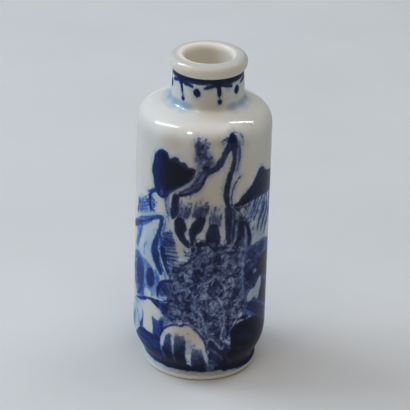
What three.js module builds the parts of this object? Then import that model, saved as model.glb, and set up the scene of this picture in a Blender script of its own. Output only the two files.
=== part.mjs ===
// A cylindrical porcelain snuff bottle, thrown and fired as one piece: a foot ring with a recessed
// underside, a straight wall, a sloping shoulder, a short neck and a rolled lip round an open mouth.
// It is hollow, with a wall of true thickness all the way from the mouth to the floor.
// Units are millimetres, +Z is up, -Y is the painted front, and the origin is under the wall's centre
// on the surface that the foot stands on.
import * as THREE from "three";

// Driving dimensions. Radii are measured from the bottle's own axis, heights from the standing surface.
const bottleHeight = 70;
const wallThickness = 2.1;
const floorThickness = 2.4;
const footRadius = 12.1;
const footHeight = 1.7;
const bodyRadiusLow = 14.1;
const bodyRadiusHigh = 13.9;
const shoulderHeight = 54.9;
const neckBaseHeight = 60.05;
const neckRadiusLow = 7.5;
const neckRadiusHigh = 7.2;
const lipRadius = 7.95;
const lipUndersideHeight = 67.2;
const lipWidestHeight = 68.65;
const mouthRadius = 4.8;

// The foot ring: its standing face lies between the two edges, and the underside is cut back inside it.
const footEdgeRound = 0.35;
const footRingWidth = 1.5;
const footInnerRadius = footRadius - footRingWidth;
const recessDepth = 1.2;
const recessFillet = 0.6;

// The shallow groove where the body meets the foot, and the waisted curve that rises from it.
const grooveDepth = 0.15;
const grooveHeight = 0.2;
const waistHeight = 4.2;
const bellyPull = 4.6;
const wallStart = 9.4;

// The shoulder leaves the wall straight up and reaches the neck at this slope.
const shoulderRise = 3.55;
const shoulderRun = 2.75;
const shoulderSlope = THREE.MathUtils.degToRad(23.5);
const neckFillet = 0.7;
const neckFilletRise = 0.1;

// The lip's crest is a narrow flat ring where a stopper's collar would sit.
const crestRadius = 6.1;
const crestWidth = 0.5;
const mouthRollDepth = 1.6;

// The cavity: its own shoulder under the neck bore, and the curve from its wall to its floor.
const cavityRadius = bodyRadiusHigh - wallThickness;
const cavityFloor = recessDepth + floorThickness;
const cavityCornerRadius = 4.5;
const cavityCornerHeight = 6;
const boreFoot = neckBaseHeight - 0.6;
const boreFlare = 1;
const cavityShoulder = shoulderHeight - 1.6;

// The neck and the foot were turned slightly out of true with the wall.
const neckOffset = 0.45;
const neckOffsetFrom = 58.5;
const neckOffsetTo = 61.5;
const footOffset = 0.2;
const footOffsetUpTo = 8;

// How finely the curves are cut.
const segmentsAround = 64;
const stepsPerCurve = 6;
const samePoint = 1e-6;

/** The outer face from the middle of the underside to the lip's crest, as one path of radius and height. */
function outerPath() {
  const ledge = neckRadiusLow + neckFillet;
  const junction = footRadius - grooveDepth;
  const path = new THREE.Path();
  path.moveTo(0, recessDepth);
  path.lineTo(footInnerRadius - recessFillet, recessDepth);
  path.quadraticCurveTo(footInnerRadius, recessDepth, footInnerRadius, recessDepth - recessFillet);
  path.lineTo(footInnerRadius, 0);
  path.lineTo(footRadius - footEdgeRound, 0);
  path.quadraticCurveTo(footRadius, 0, footRadius, footEdgeRound);
  path.lineTo(footRadius, footHeight);
  path.lineTo(junction, footHeight + grooveHeight);
  path.bezierCurveTo(footRadius, waistHeight, bodyRadiusLow, bellyPull, bodyRadiusLow, wallStart);
  path.lineTo(bodyRadiusHigh, shoulderHeight);
  path.bezierCurveTo(
    bodyRadiusHigh,
    shoulderHeight + shoulderRise,
    ledge + shoulderRun * Math.cos(shoulderSlope),
    neckBaseHeight - shoulderRun * Math.sin(shoulderSlope),
    ledge,
    neckBaseHeight,
  );
  path.quadraticCurveTo(
    neckRadiusLow,
    neckBaseHeight + neckFilletRise,
    neckRadiusLow,
    neckBaseHeight + neckFillet,
  );
  path.lineTo(neckRadiusHigh, lipUndersideHeight);
  path.curves.push(
    quarterEllipse(neckRadiusHigh, lipWidestHeight, lipRadius, lipUndersideHeight, -Math.PI / 2, 0),
  );
  const crestOuter = crestRadius + crestWidth / 2;
  path.curves.push(quarterEllipse(crestOuter, lipWidestHeight, lipRadius, bottleHeight, 0, Math.PI / 2));
  return path;
}

/** The inner face from the lip's crest down the bore and the cavity's wall to the middle of its floor. */
function innerPath() {
  const crestInner = crestRadius - crestWidth / 2;
  const boreTop = bottleHeight - mouthRollDepth;
  const path = new THREE.Path();
  path.curves.push(quarterEllipse(crestInner, boreTop, mouthRadius, bottleHeight, Math.PI / 2, Math.PI));
  path.currentPoint.set(mouthRadius, boreTop);
  path.lineTo(mouthRadius, boreFoot);
  path.bezierCurveTo(
    mouthRadius,
    cavityShoulder + shoulderRise,
    cavityRadius,
    boreFoot - boreFlare,
    cavityRadius,
    cavityShoulder,
  );
  path.lineTo(cavityRadius, cavityFloor + cavityCornerHeight);
  path.quadraticCurveTo(cavityRadius, cavityFloor, cavityRadius - cavityCornerRadius, cavityFloor);
  path.lineTo(0, cavityFloor);
  return path;
}

/**
 * A quarter of an ellipse about (centreRadius, centreHeight), from one angle to another, whose half
 * axes reach to edgeRadius and to edgeHeight.
 */
function quarterEllipse(centreRadius, centreHeight, edgeRadius, edgeHeight, fromAngle, toAngle) {
  const across = Math.abs(edgeRadius - centreRadius);
  const up = Math.abs(edgeHeight - centreHeight);
  return new THREE.EllipseCurve(centreRadius, centreHeight, across, up, fromAngle, toAngle);
}

/** A path's points without the ones that repeat where two of its curves meet. */
function cleanPoints(path) {
  const points = [];
  for (const curve of path.curves) {
    const steps = curve.isLineCurve ? 1 : stepsPerCurve;
    for (const point of curve.getPoints(steps)) {
      const last = points.at(-1);
      if (!last || last.distanceTo(point) > samePoint) points.push(point);
    }
  }
  return points;
}

/** How far to +X the bottle's own axis stands at a height: the neck and the foot are a little off centre. */
function axisOffset(height) {
  const neck = neckOffset * THREE.MathUtils.smoothstep(height, neckOffsetFrom, neckOffsetTo);
  const foot = footOffset * (1 - THREE.MathUtils.smoothstep(height, 0, footOffsetUpTo));
  return neck + foot;
}

/** The whole bottle turned about its axis, stood upright and eased out of true. */
function bottleGeometry() {
  const profile = [...cleanPoints(outerPath()), ...cleanPoints(innerPath())];
  const geometry = new THREE.LatheGeometry(profile, segmentsAround);
  geometry.rotateX(Math.PI / 2);
  const position = geometry.attributes.position;
  for (let i = 0; i < position.count; i += 1) {
    position.setX(i, position.getX(i) + axisOffset(position.getZ(i)));
  }
  return geometry;
}

const porcelain = new THREE.MeshStandardMaterial({ color: 0xdfe3e4, roughness: 0.12, metalness: 0 });

const bottle = new THREE.Mesh(bottleGeometry(), porcelain);
bottle.name = "bottle";

const snuffBottle = new THREE.Group();
snuffBottle.add(bottle);

export default snuffBottle;
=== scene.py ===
"""The looks of a blue and white porcelain snuff bottle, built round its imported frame.

The bottle is one piece, turned from its profile. Its landscape is laid down as a potter's painter does
it: washes first, then broad brush work, fine lines and curling leaves, and last the places that stay
bare. Every mark is a distance field on the wall, in millimetres, which the painted glaze's material
turns into cobalt.
"""

from __future__ import annotations

import logging
import math
import random
from collections.abc import Iterator, Sequence
from dataclasses import dataclass, field
from enum import Enum

import bmesh
import bpy
import numpy as np
from mathutils import Matrix, Vector


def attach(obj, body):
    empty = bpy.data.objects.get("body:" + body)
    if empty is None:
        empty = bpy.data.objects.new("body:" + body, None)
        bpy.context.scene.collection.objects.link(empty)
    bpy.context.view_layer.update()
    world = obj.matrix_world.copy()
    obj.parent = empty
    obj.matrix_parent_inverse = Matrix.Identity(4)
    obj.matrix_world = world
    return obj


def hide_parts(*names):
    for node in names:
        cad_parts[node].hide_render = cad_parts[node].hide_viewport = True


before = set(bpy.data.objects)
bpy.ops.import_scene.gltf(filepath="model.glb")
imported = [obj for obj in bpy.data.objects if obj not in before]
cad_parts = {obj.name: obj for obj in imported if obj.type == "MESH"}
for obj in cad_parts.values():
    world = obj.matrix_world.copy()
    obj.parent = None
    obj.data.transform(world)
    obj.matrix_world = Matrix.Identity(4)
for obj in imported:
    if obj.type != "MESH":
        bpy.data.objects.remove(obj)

log = logging.getLogger("snuff_bottle")

MM = 0.001
TINY = 1e-9
Point = tuple[float, float]
Edge = tuple[Point, Point]
Colour = tuple[float, float, float, float]


# -----------------------------------------------------------------------------
# Curves and measures
# -----------------------------------------------------------------------------


def in_metres(lengths: Point) -> Point:
    """A pair of lengths that was in millimetres."""
    return lengths[0] * MM, lengths[1] * MM


def bezier(start: Point, first: Point, second: Point, end: Point, steps: int) -> list[Point]:
    """Points along a cubic curve.

    Args:
        start: Where it begins.
        first: The handle that it leaves towards.
        second: The handle that it arrives from.
        end: Where it ends.
        steps: How many straight steps it takes.

    Returns:
        The points, both ends included.
    """
    t = np.linspace(0.0, 1.0, steps + 1)[:, None]
    a, b, c, d = (np.array(p, dtype=float) for p in (start, first, second, end))
    curve = (1 - t) ** 3 * a + 3 * t * (1 - t) ** 2 * b + 3 * t**2 * (1 - t) * c + t**3 * d
    return [tuple(p) for p in curve]


def arc(centre: Point, reach: Point, turns: Point, steps: int) -> list[Point]:
    """Points along an arc of an ellipse.

    Args:
        centre: The ellipse's middle.
        reach: Its half axes, across and up.
        turns: The angles where the arc begins and ends, in quarter turns.
        steps: How many straight steps it takes.

    Returns:
        The points, both ends included.
    """
    angles = np.linspace(*turns, steps + 1) * math.pi / 2
    return [(centre[0] + reach[0] * math.cos(a), centre[1] + reach[1] * math.sin(a)) for a in angles]


def flowing(
    points: Sequence[Point], closed: bool = False, step: float = 0.3
) -> tuple[np.ndarray, np.ndarray]:
    """A smooth line through points, as a brush would carry it.

    Args:
        points: What the line passes through.
        closed: Whether it comes back to its first point.
        step: The longest straight step along it.

    Returns:
        The line's points, and for each one how far along the list of points it lies.
    """
    given = np.array(points, dtype=float)
    count = len(given)
    spans = count if closed else count - 1
    line, along = [], []
    for i in range(spans):
        around = [(i + k) % count if closed else min(max(i + k, 0), count - 1) for k in (-1, 0, 1, 2)]
        before, start, end, after = given[around]
        pieces = max(1, math.ceil(float(np.linalg.norm(end - start)) / step))
        for t in np.arange(pieces) / pieces:
            doubled = 2 * start + (end - before) * t
            doubled = doubled + (2 * before - 5 * start + 4 * end - after) * t**2
            doubled = doubled + (3 * start - before - 3 * end + after) * t**3
            line.append(0.5 * doubled)
            along.append(i + t)
    line.append(given[0] if closed else given[-1])
    along.append(float(spans))
    return np.array(line), np.array(along)


def nearness(line: np.ndarray, spots: np.ndarray) -> tuple[np.ndarray, np.ndarray]:
    """How near spots lie to each straight step of a line.

    Args:
        line: The line's points.
        spots: The spots, one to a row.

    Returns:
        How far each spot is from each step, and how far along that step it is nearest, from 0 to 1.
    """
    start, reach = line[:-1], np.diff(line, axis=0)
    gap = spots[:, None, :] - start[None]
    t = np.clip((gap * reach).sum(-1) / np.maximum((reach**2).sum(-1), TINY), 0, 1)
    return np.linalg.norm(gap - t[..., None] * reach, axis=-1), t


def evenly(points: Sequence[Point], count: int) -> np.ndarray:
    """Places spread evenly over the straight steps between points, one to a row."""
    t = np.linspace(0, len(points) - 1, count)
    return np.stack([np.interp(t, range(len(points)), values) for values in zip(*points)], axis=1)


def encloses(line: np.ndarray, spots: np.ndarray) -> np.ndarray:
    """Which spots a closed line goes round.

    Args:
        line: The line's points, with its first point again at its end.
        spots: The spots, one to a row.

    Returns:
        True or False for each spot.
    """
    low, high, level = line[:-1, 1], line[1:, 1], spots[:, 1, None]
    rise = np.where(high == low, 1.0, high - low)
    crossing = line[:-1, 0] + (level - low) / rise * np.diff(line[:, 0])
    straddles = (low <= level) != (high <= level)
    return (straddles & (crossing > spots[:, 0, None])).sum(axis=1) % 2 == 1


def smoothstep(value: np.ndarray | float, low: float, high: float) -> np.ndarray | float:
    """0 below low, 1 above high and an easy rise between them."""
    t = np.clip((value - low) / (high - low), 0.0, 1.0)
    return t * t * (3 - 2 * t)


# -----------------------------------------------------------------------------
# The bottle's form
# -----------------------------------------------------------------------------


class Finish(Enum):
    """The finishes on the bottle, in the order of its material slots."""

    PAINTED = 0
    GLAZED = 1
    BISCUIT = 2


@dataclass(frozen=True)
class Profile:
    """The bottle's section, in millimetres from its axis and from the surface that it stands on.

    The hollow at the neck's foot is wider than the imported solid's, for the broad glints that it carries.
    """

    height: float = 70.0
    wall: float = 2.1
    floor: float = 2.4
    foot_radius: float = 12.1
    foot_height: float = 1.7
    foot_ring_width: float = 1.5
    foot_edge_round: float = 0.35
    foot_plain: float = 0.6
    recess_depth: float = 1.2
    recess_fillet: float = 0.6
    groove: Point = (0.15, 0.2)
    waist_height: float = 4.2
    belly_pull: float = 4.6
    wall_start: float = 9.4
    waist_length: float = 8.0
    body_radius_low: float = 14.1
    body_radius_high: float = 13.9
    shoulder_height: float = 54.9
    shoulder_rise: float = 3.55
    shoulder_run: float = 2.75
    shoulder_slope: float = math.radians(23.5)
    neck_base: float = 60.05
    neck_radius_low: float = 7.5
    neck_radius_high: float = 7.2
    neck_fillet: float = 1.4
    lip_radius: float = 7.95
    lip_underside: float = 67.2
    lip_widest: float = 68.65
    crest_radius: float = 6.1
    crest_width: float = 0.5
    mouth_radius: float = 4.8
    mouth_roll: float = 1.6
    bore_top: float = 65.0
    bore_foot: float = 59.45
    bore_flare: float = 1.0
    cavity_top: float = 53.3
    cavity_corner: Point = (4.5, 6.0)
    neck_offset: float = 0.45
    neck_offset_over: Point = (58.5, 61.5)
    foot_offset: float = 0.2
    foot_offset_over: Point = (0.0, 8.0)
    painted_step: float = 0.275
    foot_steps: int = 4
    cavity_steps: int = 5
    lip_steps: int = 7
    neck_steps: int = 8
    shoulder_steps: int = 24

    def outer(self) -> list[Point]:
        """The outer face, from the middle of the underside to the lip's crest."""
        inside = self.foot_radius - self.foot_ring_width
        ledge = self.neck_radius_low + self.neck_fillet
        junction = (self.foot_radius - self.groove[0], self.foot_height + self.groove[1])
        pull = (
            ledge + self.shoulder_run * math.cos(self.shoulder_slope),
            self.neck_base - self.shoulder_run * math.sin(self.shoulder_slope),
        )
        crest = self.crest_radius + self.crest_width / 2
        path: list[Point] = [(0.0, self.recess_depth), (inside / 2, self.recess_depth)]
        path += arc(
            (inside - self.recess_fillet, self.recess_depth - self.recess_fillet),
            (self.recess_fillet, self.recess_fillet),
            (1, 0),
            self.foot_steps,
        )
        path += [(inside, 0.0)]
        path += arc(
            (self.foot_radius - self.foot_edge_round, self.foot_edge_round),
            (self.foot_edge_round, self.foot_edge_round),
            (-1, 0),
            self.foot_steps,
        )
        path += [(self.foot_radius, self.foot_height * share) for share in (self.foot_plain, 1.0)]
        path += bezier(
            junction,
            (self.foot_radius, self.waist_height),
            (self.body_radius_low, self.belly_pull),
            (self.body_radius_low, self.wall_start),
            self.rows(self.waist_length),
        )
        path += self.straight(
            (self.body_radius_low, self.wall_start), (self.body_radius_high, self.shoulder_height)
        )
        path += bezier(
            (self.body_radius_high, self.shoulder_height),
            (self.body_radius_high, self.shoulder_height + self.shoulder_rise),
            pull,
            (ledge, self.neck_base),
            self.shoulder_steps,
        )
        path += arc(
            (ledge, self.neck_base + self.neck_fillet),
            (self.neck_fillet, self.neck_fillet),
            (-1, -2),
            self.neck_steps,
        )
        path += self.straight(
            (self.neck_radius_low, self.neck_base + self.neck_fillet),
            (self.neck_radius_high, self.lip_underside),
        )
        path += arc(
            (self.neck_radius_high, self.lip_widest),
            (self.lip_radius - self.neck_radius_high, self.lip_widest - self.lip_underside),
            (-1, 0),
            self.lip_steps,
        )
        path += arc(
            (crest, self.lip_widest),
            (self.lip_radius - crest, self.height - self.lip_widest),
            (0, 1),
            self.lip_steps,
        )
        return path

    def inner(self) -> list[Point]:
        """The inner face, from the lip's crest to the middle of the cavity's floor."""
        cavity = self.body_radius_high - self.wall
        bottom = self.recess_depth + self.floor
        crest = self.crest_radius - self.crest_width / 2
        corner_radius, corner_height = self.cavity_corner
        path = arc(
            (crest, self.height - self.mouth_roll),
            (crest - self.mouth_radius, self.mouth_roll),
            (1, 2),
            self.lip_steps,
        )
        path += [(self.mouth_radius, self.bore_top), (self.mouth_radius, self.bore_foot)]
        path += bezier(
            (self.mouth_radius, self.bore_foot),
            (self.mouth_radius, self.cavity_top + self.shoulder_rise),
            (cavity, self.bore_foot - self.bore_flare),
            (cavity, self.cavity_top),
            self.lip_steps,
        )
        path += [(cavity, bottom + corner_height)]
        path += bezier(
            (cavity, bottom + corner_height),
            (cavity, bottom + corner_height / 3),
            (cavity - corner_radius / 3, bottom),
            (cavity - corner_radius, bottom),
            self.cavity_steps,
        )
        path += [(0.0, bottom)]
        return path

    def rows(self, length: float) -> int:
        """How many rows a painted stretch of that length needs."""
        return math.ceil(length / self.painted_step)

    def straight(self, start: Point, end: Point) -> list[Point]:
        """A painted stretch of wall cut into rows."""
        steps = self.rows(math.dist(start, end))
        ends = np.array([start, end])
        return [tuple(ends[0] + (ends[1] - ends[0]) * i / steps) for i in range(steps + 1)]

    def offset(self, height: np.ndarray) -> np.ndarray:
        """How far to +X the bottle's own axis stands at each height: its neck and foot are off true."""
        neck = self.neck_offset * smoothstep(height, *self.neck_offset_over)
        foot = self.foot_offset * (1 - smoothstep(height, *self.foot_offset_over))
        return neck + foot


# -----------------------------------------------------------------------------
# Painting on the wall
# -----------------------------------------------------------------------------


class Pass(Enum):
    """The painter's passes, which the painted glaze's material stacks in this order."""

    WASH = "wash"
    BRUSH = "brush"
    LINE = "line"
    LEAF = "leaf"
    BARE = "bare"


WASH, BRUSH, LINE, LEAF, BARE = Pass


@dataclass(frozen=True)
class Fade:
    """A tone that changes evenly with height."""

    low: float
    high: float
    tone_low: float
    tone_high: float

    def at(self, height: np.ndarray) -> np.ndarray:
        """The tone at each height."""
        t = np.clip((height - self.low) / (self.high - self.low), 0, 1)
        return self.tone_low + (self.tone_high - self.tone_low) * t


Tone = float | Fade


@dataclass
class Canvas:
    """The outer wall unrolled: across is the way round from the front's middle, up is the height, in mm.

    The cobalt is inky across the front and clear blue round the sides, as two mixes of it are used.
    """

    across: np.ndarray
    up: np.ndarray
    girth: float
    unpainted: float = -1.5
    margin: float = 1.4
    dab_taper: float = 0.7
    cloud_heart: float = 0.15
    ink_starts: Point = (-10.0, -5.0)
    ink_thins: Point = (8.0, 14.0)
    ink_lost: float = 0.55
    ink_strength: float = 0.85
    edges: dict[Pass, np.ndarray] = field(default_factory=dict)
    tones: dict[Pass, np.ndarray] = field(default_factory=dict)
    clouds: dict[str, np.ndarray] = field(init=False)

    def __post_init__(self) -> None:
        """Starts every pass with nothing painted."""
        self.clouds = {kind: np.zeros(len(self.across)) for kind in ("haze", "stain")}
        for one in Pass:
            self.edges[one] = np.full(len(self.across), self.unpainted)
            self.tones[one] = np.zeros(len(self.across))

    def stroke(
        self, where: Pass, path: Sequence[Point], half_widths: float | Sequence[float], tone: Tone
    ) -> None:
        """Paints one stroke.

        Args:
            where: The pass that it belongs to.
            path: What the brush passes through.
            half_widths: Half the stroke's width, all along or spread evenly from its start to its end.
            tone: How much cobalt it carries, from 0 to 1.
        """
        line, along = flowing(path)
        given = np.atleast_1d(np.array(half_widths, dtype=float))
        half = np.interp(along, np.linspace(0, along[-1], len(given)), given)
        pick, spots = self.near(line, float(half.max()) + self.margin)
        away, t = nearness(line, spots)
        self.lay(where, pick, (half[:-1] + t * np.diff(half) - away).max(axis=1), tone)

    def patch(self, where: Pass, outline: Sequence[Point], tone: Tone) -> None:
        """Fills a smooth closed outline.

        Args:
            where: The pass that it belongs to.
            outline: What its edge passes through.
            tone: How much cobalt it carries, from 0 to 1.
        """
        line, _ = flowing(outline, closed=True)
        pick, spots = self.near(line, self.margin)
        away = nearness(line, spots)[0].min(axis=1)
        self.lay(where, pick, np.where(encloses(line, spots), away, -away), tone)

    def dab(self, where: Pass, centre: Point, reach: Point, tone: Tone, lean: float = 0.0) -> None:
        """Presses the brush once.

        Args:
            where: The pass that it belongs to.
            centre: The dab's middle.
            reach: Half its width and half its height.
            tone: How much cobalt it carries, from 0 to 1.
            lean: How far its top leans to the right, in degrees.
        """
        broad = min(reach)
        long_way = max(reach) - broad
        turn = math.radians(lean) + (math.pi / 2 if reach[0] > reach[1] else 0.0)
        tip = (long_way * math.sin(turn), long_way * math.cos(turn))
        ends = [(centre[0] - tip[0], centre[1] - tip[1]), centre, (centre[0] + tip[0], centre[1] + tip[1])]
        self.stroke(where, ends, (self.dab_taper * broad, broad, self.dab_taper * broad), tone)

    def cloud(self, kind: str, centre: Point, reach: Point, tone: float) -> None:
        """Lets a faint cloud into the glaze.

        Args:
            kind: "haze" for thin cobalt, "stain" for a warm tint, which is mostly a painted warm reflection
                with a few faint stains.
            centre: The cloud's middle.
            reach: Half its width and half its height, where it has gone.
            tone: How strong it is at its middle.
        """
        away = np.hypot(self.round_from(centre[0]) / reach[0], (self.up - centre[1]) / reach[1])
        strength = tone * (1 - smoothstep(away, self.cloud_heart, 1.0))
        self.clouds[kind] = np.maximum(self.clouds[kind], strength)

    def ring(self, steps: int) -> list[float]:
        """Places spread evenly all the way round, with the back's middle at both ends."""
        half = self.girth / 2
        return [-half + i * self.girth / steps for i in range(steps + 1)]

    def round_from(self, middle: float) -> np.ndarray:
        """How far round from a place each point lies, by the shorter way."""
        return (self.across - middle + self.girth / 2) % self.girth - self.girth / 2

    def near(self, line: np.ndarray, margin: float) -> tuple[np.ndarray, np.ndarray]:
        """The wall's points near a line.

        Args:
            line: The line's points.
            margin: How far from its box a point may be.

        Returns:
            The points' numbers, and their places measured the short way round from the line.
        """
        low, high = line.min(axis=0) - margin, line.max(axis=0) + margin
        middle = (low[0] + high[0]) / 2
        across = self.round_from(middle) + middle
        keep = (across > low[0]) & (across < high[0]) & (self.up > low[1]) & (self.up < high[1])
        pick = np.flatnonzero(keep)
        return pick, np.stack([across[pick], self.up[pick]], axis=-1)

    def lay(self, where: Pass, pick: np.ndarray, edge: np.ndarray, tone: Tone) -> None:
        """Lays cobalt on points where this mark reaches further than those before it.

        Args:
            where: The pass that it belongs to.
            pick: The points' numbers.
            edge: How far inside the mark each point is, below 0 outside it.
            tone: How much cobalt it carries, from 0 to 1.
        """
        wins = edge > self.edges[where][pick]
        chosen = pick[wins]
        self.edges[where][chosen] = edge[wins]
        self.tones[where][chosen] = tone.at(self.up[chosen]) if isinstance(tone, Fade) else tone

    def attributes(self) -> Iterator[tuple[str, np.ndarray]]:
        """The name and the values of each field that the painted glaze reads."""
        for one in Pass:
            yield f"{one.value}_edge", self.edges[one]
            yield f"{one.value}_tone", self.tones[one]
        thinned = 1 - self.ink_lost * smoothstep(self.across, *self.ink_thins)
        yield "ink", self.ink_strength * (smoothstep(self.across, *self.ink_starts) * thinned)
        yield from self.clouds.items()


@dataclass
class Painter:
    """A painter's uneven hand, which leaves no two small marks alike.

    A pair is a least and a most, but slip is across and up, and taper is a line's middle and its end.
    """

    canvas: Canvas
    seed: int = 7
    hand: random.Random = field(init=False)
    pressure: Point = (0.75, 1.25)
    load: Point = (0.85, 1.1)
    slip: Point = (0.1, 0.14)
    taper: Point = (0.9, 0.5)
    curl: Point = (0.5, 1.3)
    waver: float = 0.35
    stride: Point = (0.4, 0.7)
    strides: tuple[int, int] = (3, 5)
    thin_end: float = 0.6
    spread: float = 1.1
    dab_length: float = 1.5
    dab_lean: float = 60.0

    def __post_init__(self) -> None:
        """Starts the hand, so that it draws the same each time."""
        self.hand = random.Random(self.seed)

    def hatch(self, first: Edge, last: Edge, count: int, half: float, tone: float) -> None:
        """Paints a row of short lines, eased from the first to the last, each a little uneven.

        Args:
            first: The first line's ends.
            last: The last line's ends.
            count: How many there are.
            half: Half the width of each one's start. Its end is thinner.
            tone: How much cobalt each one carries.
        """
        for t in np.linspace(0, 1, count):
            ends = []
            for a, b in zip(first, last):
                x = a[0] + (b[0] - a[0]) * t + self.hand.gauss(0, self.slip[0])
                ends.append((x, a[1] + (b[1] - a[1]) * t + self.hand.gauss(0, self.slip[1])))
            wide = half * self.hand.uniform(*self.pressure)
            widths = (wide, *(wide * share for share in self.taper))
            self.canvas.stroke(LINE, ends, widths, tone * self.hand.uniform(*self.load))

    def scribble(
        self, outline: Sequence[Point], count: int, half: float, tone: Point, where: Pass = LINE
    ) -> None:
        """Fills an outline with small curling strokes.

        Args:
            outline: The edge that they start inside.
            count: How many strokes are tried.
            half: Half the width of each one.
            tone: The least and the most cobalt that they carry.
            where: The pass that they belong to.
        """
        line, _ = flowing(outline, closed=True)
        low, high = line.min(axis=0), line.max(axis=0)
        for _ in range(count):
            x, y = self.hand.uniform(low[0], high[0]), self.hand.uniform(low[1], high[1])
            if not encloses(line, np.array([[x, y]]))[0]:
                continue
            heading = self.hand.uniform(0, math.tau)
            curl = self.hand.choice((-1, 1)) * self.hand.uniform(*self.curl)
            path = [(x, y)]
            for _ in range(self.hand.randint(*self.strides)):
                heading += curl + self.hand.gauss(0, self.waver)
                step = self.hand.uniform(*self.stride)
                x, y = x + step * math.cos(heading), y + step * math.sin(heading)
                path.append((x, y))
            wide = half * self.hand.uniform(*self.pressure)
            self.canvas.stroke(where, path, (wide, wide, wide * self.thin_end), self.hand.uniform(*tone))

    def sprays(self, centre: Point, reach: Point, count: int, size: Point, tone: Point) -> None:
        """Scatters dabs over an oval, closer together towards its middle.

        Args:
            centre: The oval's middle.
            reach: Half its width and half its height.
            count: How many dabs there are.
            size: The smallest and the largest half width of a dab.
            tone: The least and the most cobalt that they carry.
        """
        for _ in range(count):
            x = centre[0] + reach[0] * self.hand.triangular(-self.spread, self.spread)
            y = centre[1] + reach[1] * self.hand.triangular(-self.spread, self.spread)
            wide = self.hand.uniform(*size)
            strength = self.hand.uniform(*tone)
            lean = self.hand.uniform(-self.dab_lean, self.dab_lean)
            self.canvas.dab(LINE, (x, y), (wide, wide * self.dab_length), strength, lean)


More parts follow.
